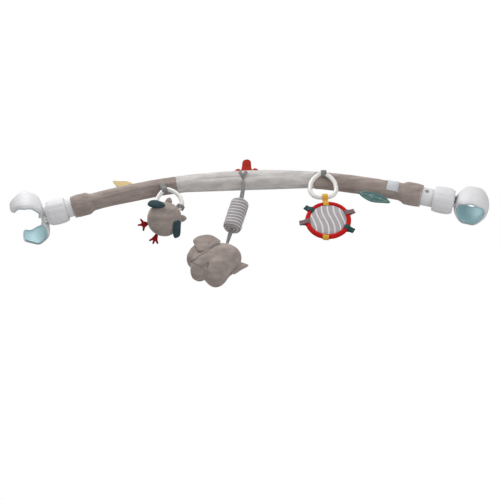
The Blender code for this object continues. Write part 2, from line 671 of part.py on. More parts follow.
def build_collar(side, swivel, closed_share):
    """Build the collar nut and the thrust ring that it carries in its mouth."""
    back = COLLAR_BACK_OPEN + THREAD_PITCH * closed_share
    mean = THREAD_RADIUS + THREAD_PLAY
    clear = mean + THREAD_DEPTH / 2 + GAP
    seat = THRUST_RADIUS + GAP
    seat_floor = COLLAR_LENGTH - THRUST_SEAT_DEPTH
    rise = COLLAR_LENGTH * COLLAR_BARREL_SHARE
    edge_radius = COLLAR_END_RADIUS + (COLLAR_RADIUS - COLLAR_END_RADIUS) * COLLAR_EDGE_SHARE
    profile = [
        (0, clear),
        (0, COLLAR_END_RADIUS),
        (COLLAR_EDGE, edge_radius),
        (rise, COLLAR_RADIUS),
        (COLLAR_LENGTH - rise, COLLAR_RADIUS),
        (COLLAR_LENGTH - COLLAR_EDGE, edge_radius),
        (COLLAR_LENGTH, COLLAR_END_RADIUS),
        (COLLAR_LENGTH, seat),
        (seat_floor, seat),
        (seat_floor, clear),
    ]
    thread_end = COLLAR_THREAD_START + COLLAR_THREAD_LENGTH
    profile += [(s, mean) for s in spread(thread_end, COLLAR_THREAD_START, COLLAR_THREAD_STEPS)]
    shape = turned(profile, CLAMP_SIDES, closed=True)
    for vert in shape.verts:
        out = math.hypot(vert.co.y, vert.co.z)
        if out > COLLAR_END_RADIUS + MERGE_DISTANCE:
            turn = math.atan2(vert.co.z, vert.co.y)
            grown = 1 - COLLAR_LOBE_DEPTH / out * (0.5 - 0.5 * math.cos(COLLAR_LOBES * turn))
            vert.co.y *= grown
            vert.co.z *= grown
    moved(shape, Matrix.Translation((back, 0, 0)))
    threaded(shape, back + COLLAR_THREAD_START, COLLAR_THREAD_LENGTH, mean, THREAD_DEPTH, THREAD_DEPTH)
    add_piece(side + "_collar", shape, "plastic_white", swivel)

    ring_start = back + seat_floor + GAP
    ring = [
        (ring_start, THRUST_BORE_RADIUS),
        (ring_start, THRUST_RADIUS),
        (ring_start + THRUST_THICKNESS, THRUST_RADIUS),
        (ring_start + THRUST_THICKNESS, THRUST_BORE_RADIUS),
    ]
    add_piece(side + "_thrust_ring", turned(ring, CLAMP_SIDES, closed=True), "plastic_white", swivel)


def scoop(outer_radius, edge_radius, inset, wall, start_gap):
    """Return half of a hollow barrel with wavy side rims, about the grip centre, on the +Y side."""
    def half_at(angle):
        wave = JAW_WAVE * math.cos(2 * JAW_WAVES * angle)
        return JAW_END_HALF + JAW_SWELL * math.sin(angle) + wave - inset

    def radius_at(share, depth):
        crown = math.sqrt(max(0, 1 - share * share))
        return edge_radius + (outer_radius - edge_radius) * crown - depth

    start = math.asin(start_gap / (outer_radius - wall))
    rings = []
    for i in range(JAW_STEPS + 1):
        angle = start + (math.pi - 2 * start) * i / JAW_STEPS
        half = half_at(angle)
        shares = spread(-1, 1, JAW_WIDTH_STEPS)
        profile = [(radius_at(share, 0), half * share) for share in shares]
        profile += [(radius_at(share, wall), half * share) for share in reversed(shares)]
        across, up = math.cos(angle), math.sin(angle)
        rings.append([Vector((GRIP_FROM_PIN + r * across, r * up, w)) for r, w in profile])
    return lofted(rings)


def build_jaw(side, name, swivel, sign, double, open_deg):
    """Build a jaw with its neck and knuckles, and the soft liner inside it, on one pivot."""
    mirror = Matrix.Diagonal((1, sign, 1, 1))
    place = Matrix.Translation((PIN_FROM_CUFF, 0, 0)) @ turn_about("Z", sign * open_deg)
    pivot = empty(side + "_" + name + "_pivot", swivel, place)
    shell = scoop(JAW_RADIUS, JAW_EDGE_RADIUS, 0, JAW_WALL, GAP)
    jaw = add_piece(side + "_" + name + "_jaw", moved(shell, mirror), "plastic_white", pivot)
    if double:
        spans = ((KNUCKLE_HALF_WIDTH + GAP, KNUCKLE_OUTER), (-KNUCKLE_OUTER, -KNUCKLE_HALF_WIDTH - GAP))
    else:
        spans = ((-KNUCKLE_HALF_WIDTH, KNUCKLE_HALF_WIDTH),)
    for number, (low, high) in enumerate(spans):
        label = side + "_" + name + "_{}_" + str(number)
        knuckle = [(low, 0), (low, KNUCKLE_RADIUS), (high, KNUCKLE_RADIUS), (high, 0)]
        knuckle = moved(turned(knuckle, CLAMP_SIDES // 2), turn_about("Y", -90))
        combine(jaw, add_tool(label.format("knuckle"), knuckle, pivot), "UNION")
        neck = slab(
            (JAW_NECK_REACH, JAW_NECK_DEPTH - GAP, high - low),
            (JAW_NECK_REACH / 2, sign * (JAW_NECK_DEPTH + GAP) / 2, (low + high) / 2),
        )
        combine(jaw, add_tool(label.format("neck"), neck, pivot), "UNION")
    hole = pin_cutter(PIN_RADIUS + GAP, SOCKET_RADIUS + CUT_OVERRUN)
    combine(jaw, add_tool(side + "_" + name + "_pin_hole", hole, pivot), "DIFFERENCE")

    depth = JAW_WALL + LINER_GAP
    liner = scoop(
        JAW_RADIUS - depth, JAW_EDGE_RADIUS - depth, LINER_INSET, LINER_WALL, GAP,
    )
    add_piece(side + "_" + name + "_liner", moved(liner, mirror), "liner_aqua", pivot)


def build_clamp(side, sign, root, closed_share, swivel_deg):
    """Build one clamp; both clamps are the same parts, turned to face outward."""
    holder = empty(side + "_clamp", root, clamp_frame(sign))
    build_socket(side, holder, sign)
    swivel = empty(side + "_swivel", holder, turn_about("X", swivel_deg))
    build_carrier(side, swivel)
    build_collar(side, swivel, closed_share)
    open_deg = JAW_OPEN_DEG * (1 - closed_share)
    build_jaw(side, "front", swivel, -sign, sign > 0, open_deg)
    build_jaw(side, "back", swivel, sign, sign < 0, open_deg)


# Rings, loops and tabs

def ring_point(degrees):
    """Return a point of the ring's centreline, by its turn clockwise from the top."""
    across, up = math.sin(math.radians(degrees)), math.cos(math.radians(degrees))
    if up >= 0:
        return Vector((RING_RADIUS * across * (1 - RING_TAPER_SHARE * up), 0, RING_RADIUS * up))
    wide = math.copysign(abs(across) ** RING_SQUARE_SHARE, across)
    return Vector((RING_RADIUS * wide, 0, -RING_DROP * abs(up) ** RING_SQUARE_SHARE))


def wire_ring():
    """Return the plastic ring: a round wire swept along its centreline."""
    centres = [ring_point(360 * i / RING_STEPS) for i in range(RING_STEPS)]
    rings = []
    for i, centre in enumerate(centres):
        ahead = centres[(i + 1) % len(centres)] - centres[i - 1]
        out = Vector((ahead.z, 0, -ahead.x)).normalized()
        steps = [2 * math.pi * k / RING_SIDES for k in range(RING_SIDES)]
        rings.append([
            centre + WIRE_RADIUS * (-out * math.cos(a) + Vector((0, math.sin(a), 0))) for a in steps
        ])
    return lofted(rings, closed=True)


def ribbon_loop(reach, width=LOOP_WIDTH):
    """Return a ribbon folded round a wire at the origin and sewn at a point below it.

    The wire runs along X.  The ribbon's tail reaches to -Z by the given length.
    """
    outer = LOOP_HOLE_RADIUS + RIBBON_THICKNESS
    tail = math.asin(RIBBON_THICKNESS / outer)
    tip = math.atan2(RIBBON_THICKNESS, reach)
    first = LOOP_TAIL_SPREAD * tail
    angles = [-tip, tip, tail] + spread(first, 2 * math.pi - first, LOOP_STEPS)
    angles.append(2 * math.pi - tail)
    inside, outside = [], []
    for angle in angles:
        out = math.hypot(reach, RIBBON_THICKNESS) if abs(angle) < (tip + tail) / 2 else outer
        direction = Vector((0, math.sin(angle), -math.cos(angle)))
        inside.append(direction * LOOP_HOLE_RADIUS)
        outside.append(direction * out)
    step = Vector((width / 2, 0, 0))
    corners = list(zip(inside, outside))
    rings = [[a - step, b - step, b + step, a + step] for a, b in corners]
    return lofted(rings, closed=True)


def aim_down(start, end):
    """Return a turn about X that points the tail (-Z) from start to end in the YZ plane."""
    reach = end - start
    return Matrix.Rotation(math.atan2(reach.y, -reach.z), 4, "X")


def sewn_point(along, degrees, radius=SEWN_RADIUS):
    """Return a point on the bar's skin, at an angle from the front (-Y) towards the top."""
    angle = math.radians(degrees)
    return bar_frame(along) @ Vector((0, -radius * math.cos(angle), radius * math.sin(angle)))


# Owl

def owl_form(point):
    """Swell the owl's lower half and draw in its head."""
    point.x *= 1 - OWL_HEAD_SHARE * point.z
    point.y *= 1 - OWL_HEAD_SHARE * point.z
    return point


def build_owl(root):
    """Build the owl toy: its loop on the bar, ring, tab, body, ears, wings and feet."""
    sewn = sewn_point(OWL_LOOP_FROM_CROWN, OWL_LOOP_ANGLE_DEG)
    loop_lean = turn_about("Y", -OWL_LOOP_LEAN_DEG)
    fall = Vector((0, -OWL_RING_FRONT - sewn.y, -OWL_LOOP_DROP))
    wire = sewn + loop_lean @ fall
    loop_joint = empty("owl_loop_joint", root, Matrix.Translation(sewn))
    at_wire = Matrix.Translation(wire - sewn) @ loop_lean
    loop = moved(ribbon_loop(fall.length), at_wire @ aim_down(fall, Vector()))
    add_piece("owl_loop", loop, "ribbon_grey", loop_joint)

    centre = wire + loop_lean @ Vector((0, 0, -RING_RADIUS))
    lean = turn_about("Y", -OWL_RING_LEAN_DEG)
    ring_joint = empty("owl_ring_joint", root, Matrix.Translation(centre) @ lean)
    add_piece("owl_ring", wire_ring(), "plastic_ring", ring_joint)

    hang = centre + lean @ ring_point(OWL_TAB_ON_RING_DEG)
    ahead = lean @ (ring_point(OWL_TAB_ON_RING_DEG + 1) - ring_point(OWL_TAB_ON_RING_DEG - 1))
    along = ahead.normalized()
    outward = Vector((0, 1, 0)).cross(along)
    tilt = math.radians(OWL_TAB_FORWARD_DEG)
    tail = (outward * math.cos(tilt) + Vector((0, -math.sin(tilt), 0))).normalized()
    tail_end = hang + tail * OWL_TAB_REACH

    body_centre = Vector((OWL_CENTRE_X, -OWL_FRONT, OWL_CENTRE_Z))
    posture = turn_about("Y", OWL_LEAN_DEG) @ turn_about("X", OWL_NOD_DEG) @ turn_about("Z", OWL_SPIN_DEG)
    owl = empty("owl_joint", root, Matrix.Translation(hang))
    seat = Matrix.Translation(body_centre - hang) @ posture

    def owl_body(grow):
        size = (2 * (OWL_RADIUS + grow), OWL_THICKNESS + 2 * grow, 2 * (OWL_RADIUS + grow))
        return blob(size, form=owl_form, sides=18, rows=12)

    add_piece("owl_body", owl_body(0), "velour_taupe", owl, seat)
    cutter = add_tool("owl_seat", owl_body(GAP), owl, seat)

    turn = Matrix((along, (-tail).cross(along), -tail)).transposed().to_4x4()
    tab = add_piece("owl_tab", ribbon_loop(OWL_TAB_REACH, OWL_TAB_WIDTH), "ribbon_grey", owl, turn)
    to_body = (body_centre - tail_end).normalized()
    start = tail_end - hang - to_body * RIBBON_THICKNESS
    stalk = ribbon(start, body_centre - hang - to_body * OWL_RADIUS / 2, OWL_TAB_WIDTH, 2 * RIBBON_THICKNESS)
    combine(tab, add_tool("owl_tab_stalk", stalk, owl), "UNION")
    combine(tab, cutter, "DIFFERENCE")

    for name, sign in (("left", -1), ("right", 1)):
        tuft = (2 * OWL_EAR_RADIUS, OWL_EAR_RADIUS, 2 * OWL_EAR_HEIGHT)
        ear = blob(tuft, sides=10, rows=6, form=ear_tuft_form)
        place = seat @ turn_about("Y", sign * OWL_EAR_DEG) @ Matrix.Translation((0, 0, OWL_RADIUS))
        combine(add_piece("owl_ear_" + name, ear, "velour_taupe", owl, place), cutter, "DIFFERENCE")

        wing = blob((OWL_WING_LENGTH, OWL_WING_WIDTH, 2 * OWL_WING_THICKNESS), sides=14, rows=6)
        place = seat @ turn_about("Y", sign * OWL_WING_DEG) @ turn_about("X", OWL_WING_FORWARD_DEG)
        place = place @ Matrix.Translation((0, 0, OWL_RADIUS + OWL_WING_THICKNESS / 2))
        place = place @ turn_about("Z", sign * OWL_WING_SLANT_DEG)
        place = place @ turn_about("Y", -sign * OWL_WING_LIFT_DEG)
        combine(add_piece("owl_wing_" + name, wing, "fabric_slate", owl, place), cutter, "DIFFERENCE")

        foot = plate(toe_outline(), OWL_FOOT_THICKNESS)
        place = seat @ turn_about("Y", 180 + sign * OWL_FOOT_DEG) @ Matrix.Translation((0, 0, OWL_RADIUS))
        combine(add_piece("owl_foot_" + name, foot, "felt_wine", owl, place), cutter, "DIFFERENCE")


def ear_tuft_form(point):
    """Draw the top half of an ear tuft in to a point."""
    if point.z > 0:
        point.x *= 1 - OWL_TUFT_POINT_SHARE * point.z
        point.y *= 1 - OWL_TUFT_POINT_SHARE * point.z
    return point


def toe_outline():
    """Return a three-toed foot that points to +Z, with its leg below it."""
    half = OWL_TOE_WIDTH / 2
    tip_half = half * OWL_TOE_TIP_SHARE
    base = Vector((0, OWL_LEG_LENGTH))
    points = [(half, -CUT_OVERRUN)]
    for degrees in (OWL_TOE_SPREAD_DEG, 0, -OWL_TOE_SPREAD_DEG):
        angle = math.radians(degrees)
        out = Vector((math.sin(angle), math.cos(angle)))
        across = Vector((out.y, -out.x))
        root = base + out * half * OWL_TOE_ROOT_SHARE
        tip = base + out * OWL_TOE_LENGTH
        points += [tuple(root + across * half), tuple(tip + across * tip_half)]
        points += [tuple(tip - across * tip_half), tuple(root - across * half)]
    points.append((-half, -CUT_OVERRUN))
    return points


# Elephant chain

def build_elephant(root):
    """Build the strap, the striped roll and the elephant that hangs from it."""
    lean = turn_about("Y", ROLL_LEAN_DEG)
    roll_centre = Vector((ROLL_X, -ELEPHANT_FRONT, ROLL_Z))
    roll_top = roll_centre + lean @ Vector((0, 0, ROLL_LENGTH / 2))
    roll_bottom = roll_centre - lean @ Vector((0, 0, ROLL_LENGTH / 2))
    tilt = Vector((0, 0, STRAP_WIDTH / 2 * math.sin(math.radians(ROLL_LEAN_DEG)) + GAP))

    sewn = Vector((STRAP_X, -SEWN_RADIUS, STRAP_TOP))
    strap_joint = empty("strap_joint", root, Matrix.Translation(sewn))
    strap = ribbon(Vector(), roll_top + tilt - sewn, STRAP_WIDTH, STRAP_THICKNESS)
    add_piece("strap_upper", strap, "ribbon_grey", strap_joint)
    build_roll(empty("roll_joint", root, Matrix.Translation(roll_top) @ lean))

    body_centre = Vector((BODY_X, -ELEPHANT_FRONT, BODY_Z))
    sewn_to = body_centre + Vector((BODY_HANG_X, 0, BODY_HEIGHT / 2 - CUT_OVERRUN))
    elephant = empty("elephant_joint", root, Matrix.Translation(roll_bottom))
    to_joint = Matrix.Translation(-roll_bottom)

    def body(grow):
        size = (BODY_LENGTH + 2 * grow, BODY_THICKNESS + 2 * grow, BODY_HEIGHT + 2 * grow)
        return moved(blob(size, body_centre, sides=20, rows=12, form=body_form), to_joint)

    def head(grow):
        size = (HEAD_LENGTH + 2 * grow, HEAD_THICKNESS + 2 * grow, HEAD_HEIGHT + 2 * grow)
        centre = Vector((HEAD_X, -ELEPHANT_FRONT, HEAD_Z))
        return moved(blob(size, centre, sides=16, rows=10), to_joint)

    def trunk(grow):
        size = (2 * (TRUNK_RADIUS + grow), 2 * (TRUNK_RADIUS + grow), TRUNK_LENGTH + 2 * grow)
        centre = Vector((HEAD_X - TRUNK_AHEAD, -ELEPHANT_FRONT, HEAD_Z - TRUNK_DROP))
        return moved(blob(size, centre, sides=12, rows=8, turn=turn_about("Y", -TRUNK_LEAN_DEG)), to_joint)

    add_piece("elephant_body", body(0), "velour_taupe", elephant)
    body_seat = add_tool("elephant_body_seat", body(GAP), elephant)
    head_seat = add_tool("elephant_head_seat", head(GAP), elephant)
    trunk_seat = add_tool("elephant_trunk_seat", trunk(GAP), elephant)

    lower = ribbon(-tilt, sewn_to - roll_bottom, STRAP_LOWER_WIDTH, STRAP_THICKNESS)
    combine(add_piece("strap_lower", lower, "ribbon_grey", elephant), body_seat, "DIFFERENCE")

    skull = add_piece("elephant_head", head(0), "velour_taupe", elephant)
    combine(skull, add_tool("elephant_trunk", trunk(0), elephant), "UNION")
    combine(skull, body_seat, "DIFFERENCE")

    for name, sign in (("front", -1), ("back", 1)):
        depth = -ELEPHANT_FRONT + sign * (HEAD_THICKNESS / 2 + EAR_THICKNESS * EAR_SUNK)
        centre = Vector((HEAD_X + EAR_BEHIND, depth, HEAD_Z + EAR_RAISE))
        size = (EAR_LENGTH, 2 * EAR_THICKNESS, EAR_HEIGHT)
        ear = blob(size, centre, sides=14, rows=8, turn=turn_about("Y", EAR_LEAN_DEG), form=ear_form)
        piece = add_piece("elephant_ear_" + name, moved(ear, to_joint), "velour_taupe", elephant)
        combine(piece, body_seat, "DIFFERENCE")
        combine(piece, head_seat, "DIFFERENCE")

    for name, x, sole_z, radius, depth, lean_deg in LEG_PAIRS:
        height = LEG_SEWN_Z + LEG_IN_BODY - sole_z
        centre = Vector((x, -ELEPHANT_FRONT, sole_z + height / 2))
        turn = turn_about("Y", lean_deg)
        pair = blob((2 * radius, depth, height), centre, sides=20, rows=8, turn=turn, form=leg_form)
        legs = add_piece("elephant_legs_" + name, moved(pair, to_joint), "velour_taupe", elephant)
        combine(legs, body_seat, "DIFFERENCE")
        if name == "front":
            combine(legs, head_seat, "DIFFERENCE")
            combine(legs, trunk_seat, "DIFFERENCE")

    points = ((-TAIL_LENGTH / 2, TAIL_WIDTH / 2), (TAIL_LENGTH / 2, 0), (-TAIL_LENGTH / 2, -TAIL_WIDTH / 2))
    tail_centre = body_centre + Vector((BODY_LENGTH / 2, 0, -TAIL_DROP))
    tail = moved(plate(points, TAIL_THICKNESS), to_joint @ Matrix.Translation(tail_centre))
    combine(add_piece("elephant_tail", tail, "velour_taupe", elephant), body_seat, "DIFFERENCE")


def build_roll(roll_joint):
    """Build the striped roll: a sewn cover with a hole at each end, round a soft core."""
    down = turn_about("Y", 90)
    wall = ROLL_RADIUS - ROLL_CORE_RADIUS - GAP
    shoulder = ROLL_RADIUS - ROLL_END_ROUND
    inner = ROLL_END_ROUND * ROLL_ROUND_SHARE
    outside = [
        (0, ROLL_END_HOLE_RADIUS),
        (0, shoulder),
        (inner, ROLL_RADIUS - inner),
        (ROLL_END_ROUND, ROLL_RADIUS),
        (ROLL_LENGTH / 2, ROLL_RADIUS),
    ]
    inside = [(ROLL_END_ROUND, ROLL_RADIUS - wall), (wall, shoulder), (wall, ROLL_END_HOLE_RADIUS)]
    cover = outside + [(ROLL_LENGTH - along, radius) for along, radius in reversed(outside[:-1])]
    cover += [(ROLL_LENGTH - along, radius) for along, radius in reversed(inside)] + inside
    add_piece("roll_cover", turned(cover, ROLL_SIDES, closed=True), "fabric_striped", roll_joint, down)
    core = [
        (wall + GAP, 0),
        (wall + GAP, ROLL_CORE_RADIUS - ROLL_END_ROUND),
        (ROLL_END_ROUND, ROLL_CORE_RADIUS - GAP),
    ]
    core += [(ROLL_LENGTH - along, radius) for along, radius in reversed(core)]
    add_piece("roll_core", turned(core, ROLL_SIDES // 2), "filling", roll_joint, down)


def body_form(point):
    """Swell the elephant's rear and flatten its belly."""
    point.z *= 1 - (BODY_BELLY_SHARE if point.z < 0 else BODY_BACK_SHARE) * point.x
    point.y *= 1 + BODY_RUMP_SHARE * point.x
    return point


def ear_form(point):
    """Draw the ear out to a lobe at the rear."""
    point.z *= 1 + EAR_LOBE_SHARE * point.x
    return point


def leg_form(point):
    """Pinch a pair of legs apart at the middle and flatten the soles to a slight crown."""
    point.x *= 1 - LEG_CREASE_SHARE * math.exp(-(point.y / LEG_CREASE_WIDTH_SHARE) ** 2)
    if abs(point.y) < LEG_CREASE_WIDTH_SHARE:
        point.z += LEG_CREASE_SHARE * (1 - abs(point.y) / LEG_CREASE_WIDTH_SHARE) * max(0, -point.z)
    if point.z < -LEG_SOLE_SHARE:
        point.z = -LEG_SOLE_SHARE + (point.z + LEG_SOLE_SHARE) * LEG_CROWN_SHARE
    return point


def ribbon(start, end, width, thickness):
    """Return a straight flat ribbon between two points, its face to the front."""
    across = Vector((width / 2, 0, 0))
    deep = Vector((0, thickness / 2, 0))
    rings = []
    for point in (start, (start + end) / 2, end):
        near, far = point - deep, point + deep
        rings.append([near - across, near + across, far + across, far - across])
    return lofted(rings)


# Disc toy

def build_disc(root):
    """Build the disc toy: loop, ring, top tab, padded panel, red rim and its ribbon tabs."""
    foot, _ = station(DISC_LOOP_FROM_CROWN)
    wire = Vector((foot.x, -DISC_RING_FRONT, foot.z - DISC_RING_DROP))
    sewn = sewn_point(DISC_LOOP_FROM_CROWN, DISC_LOOP_ANGLE_DEG)
    loop_joint = empty("disc_loop_joint", root, Matrix.Translation(sewn))
    loop = ribbon_loop((sewn - wire).length)
    loop = moved(loop, Matrix.Translation(wire - sewn) @ aim_down(wire, sewn))
    add_piece("disc_loop", loop, "ribbon_grey", loop_joint)

    centre = wire - Vector((0, 0, RING_RADIUS))
    ring_joint = empty("disc_ring_joint", root, Matrix.Translation(centre))
    add_piece("disc_ring", wire_ring(), "plastic_ring", ring_joint)

    hang = centre - Vector((0, 0, RING_DROP))
    disc = empty("disc_joint", root, Matrix.Translation(hang))
    middle = Vector((DISC_X, -DISC_RING_FRONT, DISC_Z)) - hang
    spine = DISC_RADIUS - DISC_RIM_RADIUS
    flat = Matrix.Translation(middle) @ turn_about("Z", 90)

    steps = [2 * math.pi * k / RING_SIDES for k in range(RING_SIDES)]
    rim = [(DISC_RIM_RADIUS * math.cos(a), spine + DISC_RIM_RADIUS * math.sin(a)) for a in steps]
    add_piece("disc_rim", turned(rim, DISC_SIDES, closed=True), "fabric_red", disc, flat)
    edge = spine - DISC_RIM_RADIUS - GAP
    half = DISC_PAD_THICKNESS / 2
    pad = [(-half * deep, edge * out) for deep, out in DISC_PAD_SHARES]
    pad += [(half * deep, edge * out) for deep, out in reversed(DISC_PAD_SHARES)]
    add_piece("disc_pad", turned(pad, DISC_SIDES), "fabric_striped", disc, flat)

    reach = middle.length - DISC_RADIUS - 2 * GAP
    tab = moved(ribbon_loop(reach), Matrix.Rotation(math.atan2(-middle.x, -middle.z), 4, "Y"))
    add_piece("disc_tab_yellow_top", tab, "ribbon_yellow", disc)

    size = (DISC_TAB_WIDTH, DISC_TAB_THICKNESS, DISC_TAB_LENGTH)
    for name, degrees, finish in DISC_TABS:
        out = DISC_RADIUS + GAP + DISC_TAB_LENGTH / 2
        place = Matrix.Translation(middle) @ turn_about("Y", degrees) @ Matrix.Translation((0, 0, out))
        add_piece(name, slab(size), finish, disc, place)
    front = DISC_RIM_RADIUS + GAP + DISC_TAB_THICKNESS / 2
    place = Matrix.Translation(middle) @ turn_about("Y", DISC_FLAP_DEG)
    place = place @ Matrix.Translation((0, -front, spine))
    add_piece("disc_tab_yellow_bottom", slab(size), "ribbon_yellow", disc, place)


# Felt shapes and label

def build_trims(root):
    """Build the felt flower and leaves and the care label, each sewn to the bar."""
    seat = Matrix.Translation((0, 0, COVER_RADIUS + GAP))
    flower = [(FLOWER_HALF_WIDTH * x, FLOWER_HEIGHT * z) for x, z in FLOWER_SIDE_SHARES]
    for angle in reversed(spread(0, math.pi, FLOWER_STEPS)):
        across = FLOWER_DOME_RADIUS * math.cos(angle)
        flower.append((across, FLOWER_HEIGHT - FLOWER_DOME_RADIUS * (1 - math.sin(angle))))
    flower += [(-FLOWER_HALF_WIDTH * x, FLOWER_HEIGHT * z) for x, z in reversed(FLOWER_SIDE_SHARES)]
    foot = FLOWER_HALF_WIDTH * FLOWER_FOOT_SHARE
    flower += [(foot, 0), (-foot, 0)]
    place = bar_frame(FLOWER_X) @ seat
    add_piece("felt_flower_red", plate(flower, FELT_THICKNESS), "felt_red", root, place)

    yellow = [(YELLOW_LEAF_LENGTH * x, YELLOW_LEAF_HEIGHT * z) for x, z in YELLOW_LEAF_SHARES]
    place = bar_frame(YELLOW_LEAF_FROM_CROWN) @ seat
    add_piece("felt_leaf_yellow", plate(yellow, FELT_THICKNESS), "felt_yellow", root, place)

    green = [(GREEN_LEAF_LENGTH * x, GREEN_LEAF_HEIGHT * z) for x, z in GREEN_LEAF_SHARES]
    angle = math.radians(GREEN_LEAF_ANGLE_DEG)
    out = COVER_RADIUS + GAP + FELT_THICKNESS / 2
    under = Matrix.Translation((0, -out * math.cos(angle), out * math.sin(angle)))
    place = bar_frame(GREEN_LEAF_FROM_CROWN) @ under
    add_piece("felt_leaf_green", plate(green, FELT_THICKNESS), "felt_green", root, place)

    label = wrapped(LABEL_FROM_CROWN, LABEL_WIDTH, LABEL_TOP_DEG, LABEL_BOTTOM_DEG, LABEL_THICKNESS)
    add_piece("care_label", label, "label_white", root)


def wrapped(along, width, from_deg, to_deg, thickness):
    """Return a thin sheet that lies round the bar between two angles from its front."""
    low = COVER_RADIUS + GAP
    rings = []
    for degrees in spread(from_deg, to_deg, LABEL_STEPS):
        angle = math.radians(degrees)
        out = Vector((0, -math.cos(angle), math.sin(angle)))
        across = Vector((width / 2, 0, 0))
        near, far = out * low, out * (low + thickness)
        ring = (near - across, near + across, far + across, far - across)
        rings.append([bar_frame(along) @ point for point in ring])
    return lofted(rings)


def build_all():
    """Build the whole toy, with the left clamp's grip centre at the world's origin."""
    clear_scene()
    grip = clamp_frame(-1) @ Vector((PIN_FROM_CUFF + GRIP_FROM_PIN, 0, 0))
    root = empty("arch_frame", None, Matrix.Translation(-grip))
    build_arch(root)
    build_clamp("left", -1, root, 0, LEFT_SWIVEL_DEG)
    build_clamp("right", 1, root, 1, RIGHT_SWIVEL_DEG)
    build_owl(root)
    build_elephant(root)
    build_disc(root)
    build_trims(root)


build_all()
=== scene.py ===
"""Stroller arch toy: a padded arch on two screw clamps, with an owl, an elephant and a striped disc.

Sizes are in metres.  Each sub-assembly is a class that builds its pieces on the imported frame.
"""

import logging
import math
from dataclasses import dataclass, field
from enum import Enum
from typing import Callable, Iterable, Optional, Sequence

import bmesh
import bpy
import numpy as np
from mathutils import Matrix, Vector, noise
from mathutils.bvhtree import BVHTree


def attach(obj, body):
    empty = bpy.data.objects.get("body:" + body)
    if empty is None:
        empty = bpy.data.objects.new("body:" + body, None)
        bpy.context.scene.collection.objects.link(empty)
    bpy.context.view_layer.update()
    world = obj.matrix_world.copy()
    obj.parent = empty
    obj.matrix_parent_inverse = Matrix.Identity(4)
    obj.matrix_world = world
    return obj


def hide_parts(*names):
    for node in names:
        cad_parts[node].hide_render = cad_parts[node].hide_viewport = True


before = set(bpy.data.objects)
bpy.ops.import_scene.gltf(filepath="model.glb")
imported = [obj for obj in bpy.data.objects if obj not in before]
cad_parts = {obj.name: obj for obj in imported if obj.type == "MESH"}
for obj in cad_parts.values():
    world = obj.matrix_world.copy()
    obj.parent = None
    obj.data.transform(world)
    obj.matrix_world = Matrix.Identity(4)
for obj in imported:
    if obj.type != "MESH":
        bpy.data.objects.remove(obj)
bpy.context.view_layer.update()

LOG = logging.getLogger("arch_toy")
MM = 0.001
GAP = 0.3 * MM
Point = Sequence[float]
Spot = tuple[Vector, Vector]
Colour = tuple[float, float, float]
ALONG_X = Vector((1, 0, 0))
SEWN_RADIUS = 14.7 * MM


class Side(Enum):
    """The two ends of the arch, with the sign of their place along X."""

    LEFT = -1
    RIGHT = 1

    @property
    def word(self) -> str:
        """Return the side's name as the nodes spell it."""
        return self.name.lower()


class Weave(Enum):
    """How a fabric's surface is made."""

    PILE = "pile"
    JERSEY = "jersey"
    FELT = "felt"


def spread(start: float, end: float, steps: int) -> list[float]:
    """Return evenly spaced values.

    Args:
        start: first value.
        end: last value.
        steps: number of intervals.

    Returns:
        The steps + 1 values.
    """
    return [start + (end - start) * i / steps for i in range(steps + 1)]


def angles(count: int) -> list[float]:
    """Return evenly spaced angles round a full turn, in radians."""
    return [2 * math.pi * k / count for k in range(count)]


def turns(count: int) -> list[float]:
    """Return evenly spaced angles round a full turn, in degrees."""
    return [360 * k / count for k in range(count)]


def turn(axis: str, degrees: float) -> Matrix:
    """Return a rotation about a main axis."""
    return Matrix.Rotation(math.radians(degrees), 4, axis)


def shift(x: float, y: float, z: float) -> Matrix:
    """Return a translation."""
    return Matrix.Translation((x, y, z))


def dip(distance: float, width: float) -> float:
    """Return a bell curve that is 1 on a line and fades over a width."""
    return math.exp(-((distance / width) ** 2))


def rumple(point: Vector, size: float, seed: float) -> float:
    """Return smooth noise between about -1 and 1.

    Args:
        point: place in metres.
        size: size of a bump in metres.
        seed: sets one piece's bumps apart from another's.

    Returns:
        The noise at the point.
    """
    return noise.noise(point / size + Vector((seed, seed * 1.7, seed * 2.3)))


class Tree:
    """A node tree under construction."""

    prefix = ""

    def __init__(self, tree: bpy.types.NodeTree) -> None:
        """Keep the tree that is filled."""
        self.tree = tree

    def feed(self, socket: bpy.types.NodeSocket, value: object) -> None:
        """Link a socket to the one given, or set its value."""
        if isinstance(value, bpy.types.NodeSocket):
            self.tree.links.new(value, socket)
        else:
            socket.default_value = value

    def add(self, kind: str, inputs: Optional[dict] = None, **settings: object) -> bpy.types.Node:
        """Add a node.

        Args:
            kind: the node's type without the tree's prefix.
            inputs: values or sockets by input name or number.
            settings: the node's own properties.

        Returns:
            The node.
        """
        node = self.tree.nodes.new(self.prefix + kind)
        for key, value in settings.items():
            setattr(node, key, value)
        for key, value in (inputs or {}).items():
            self.feed(node.inputs[key], value)
        return node


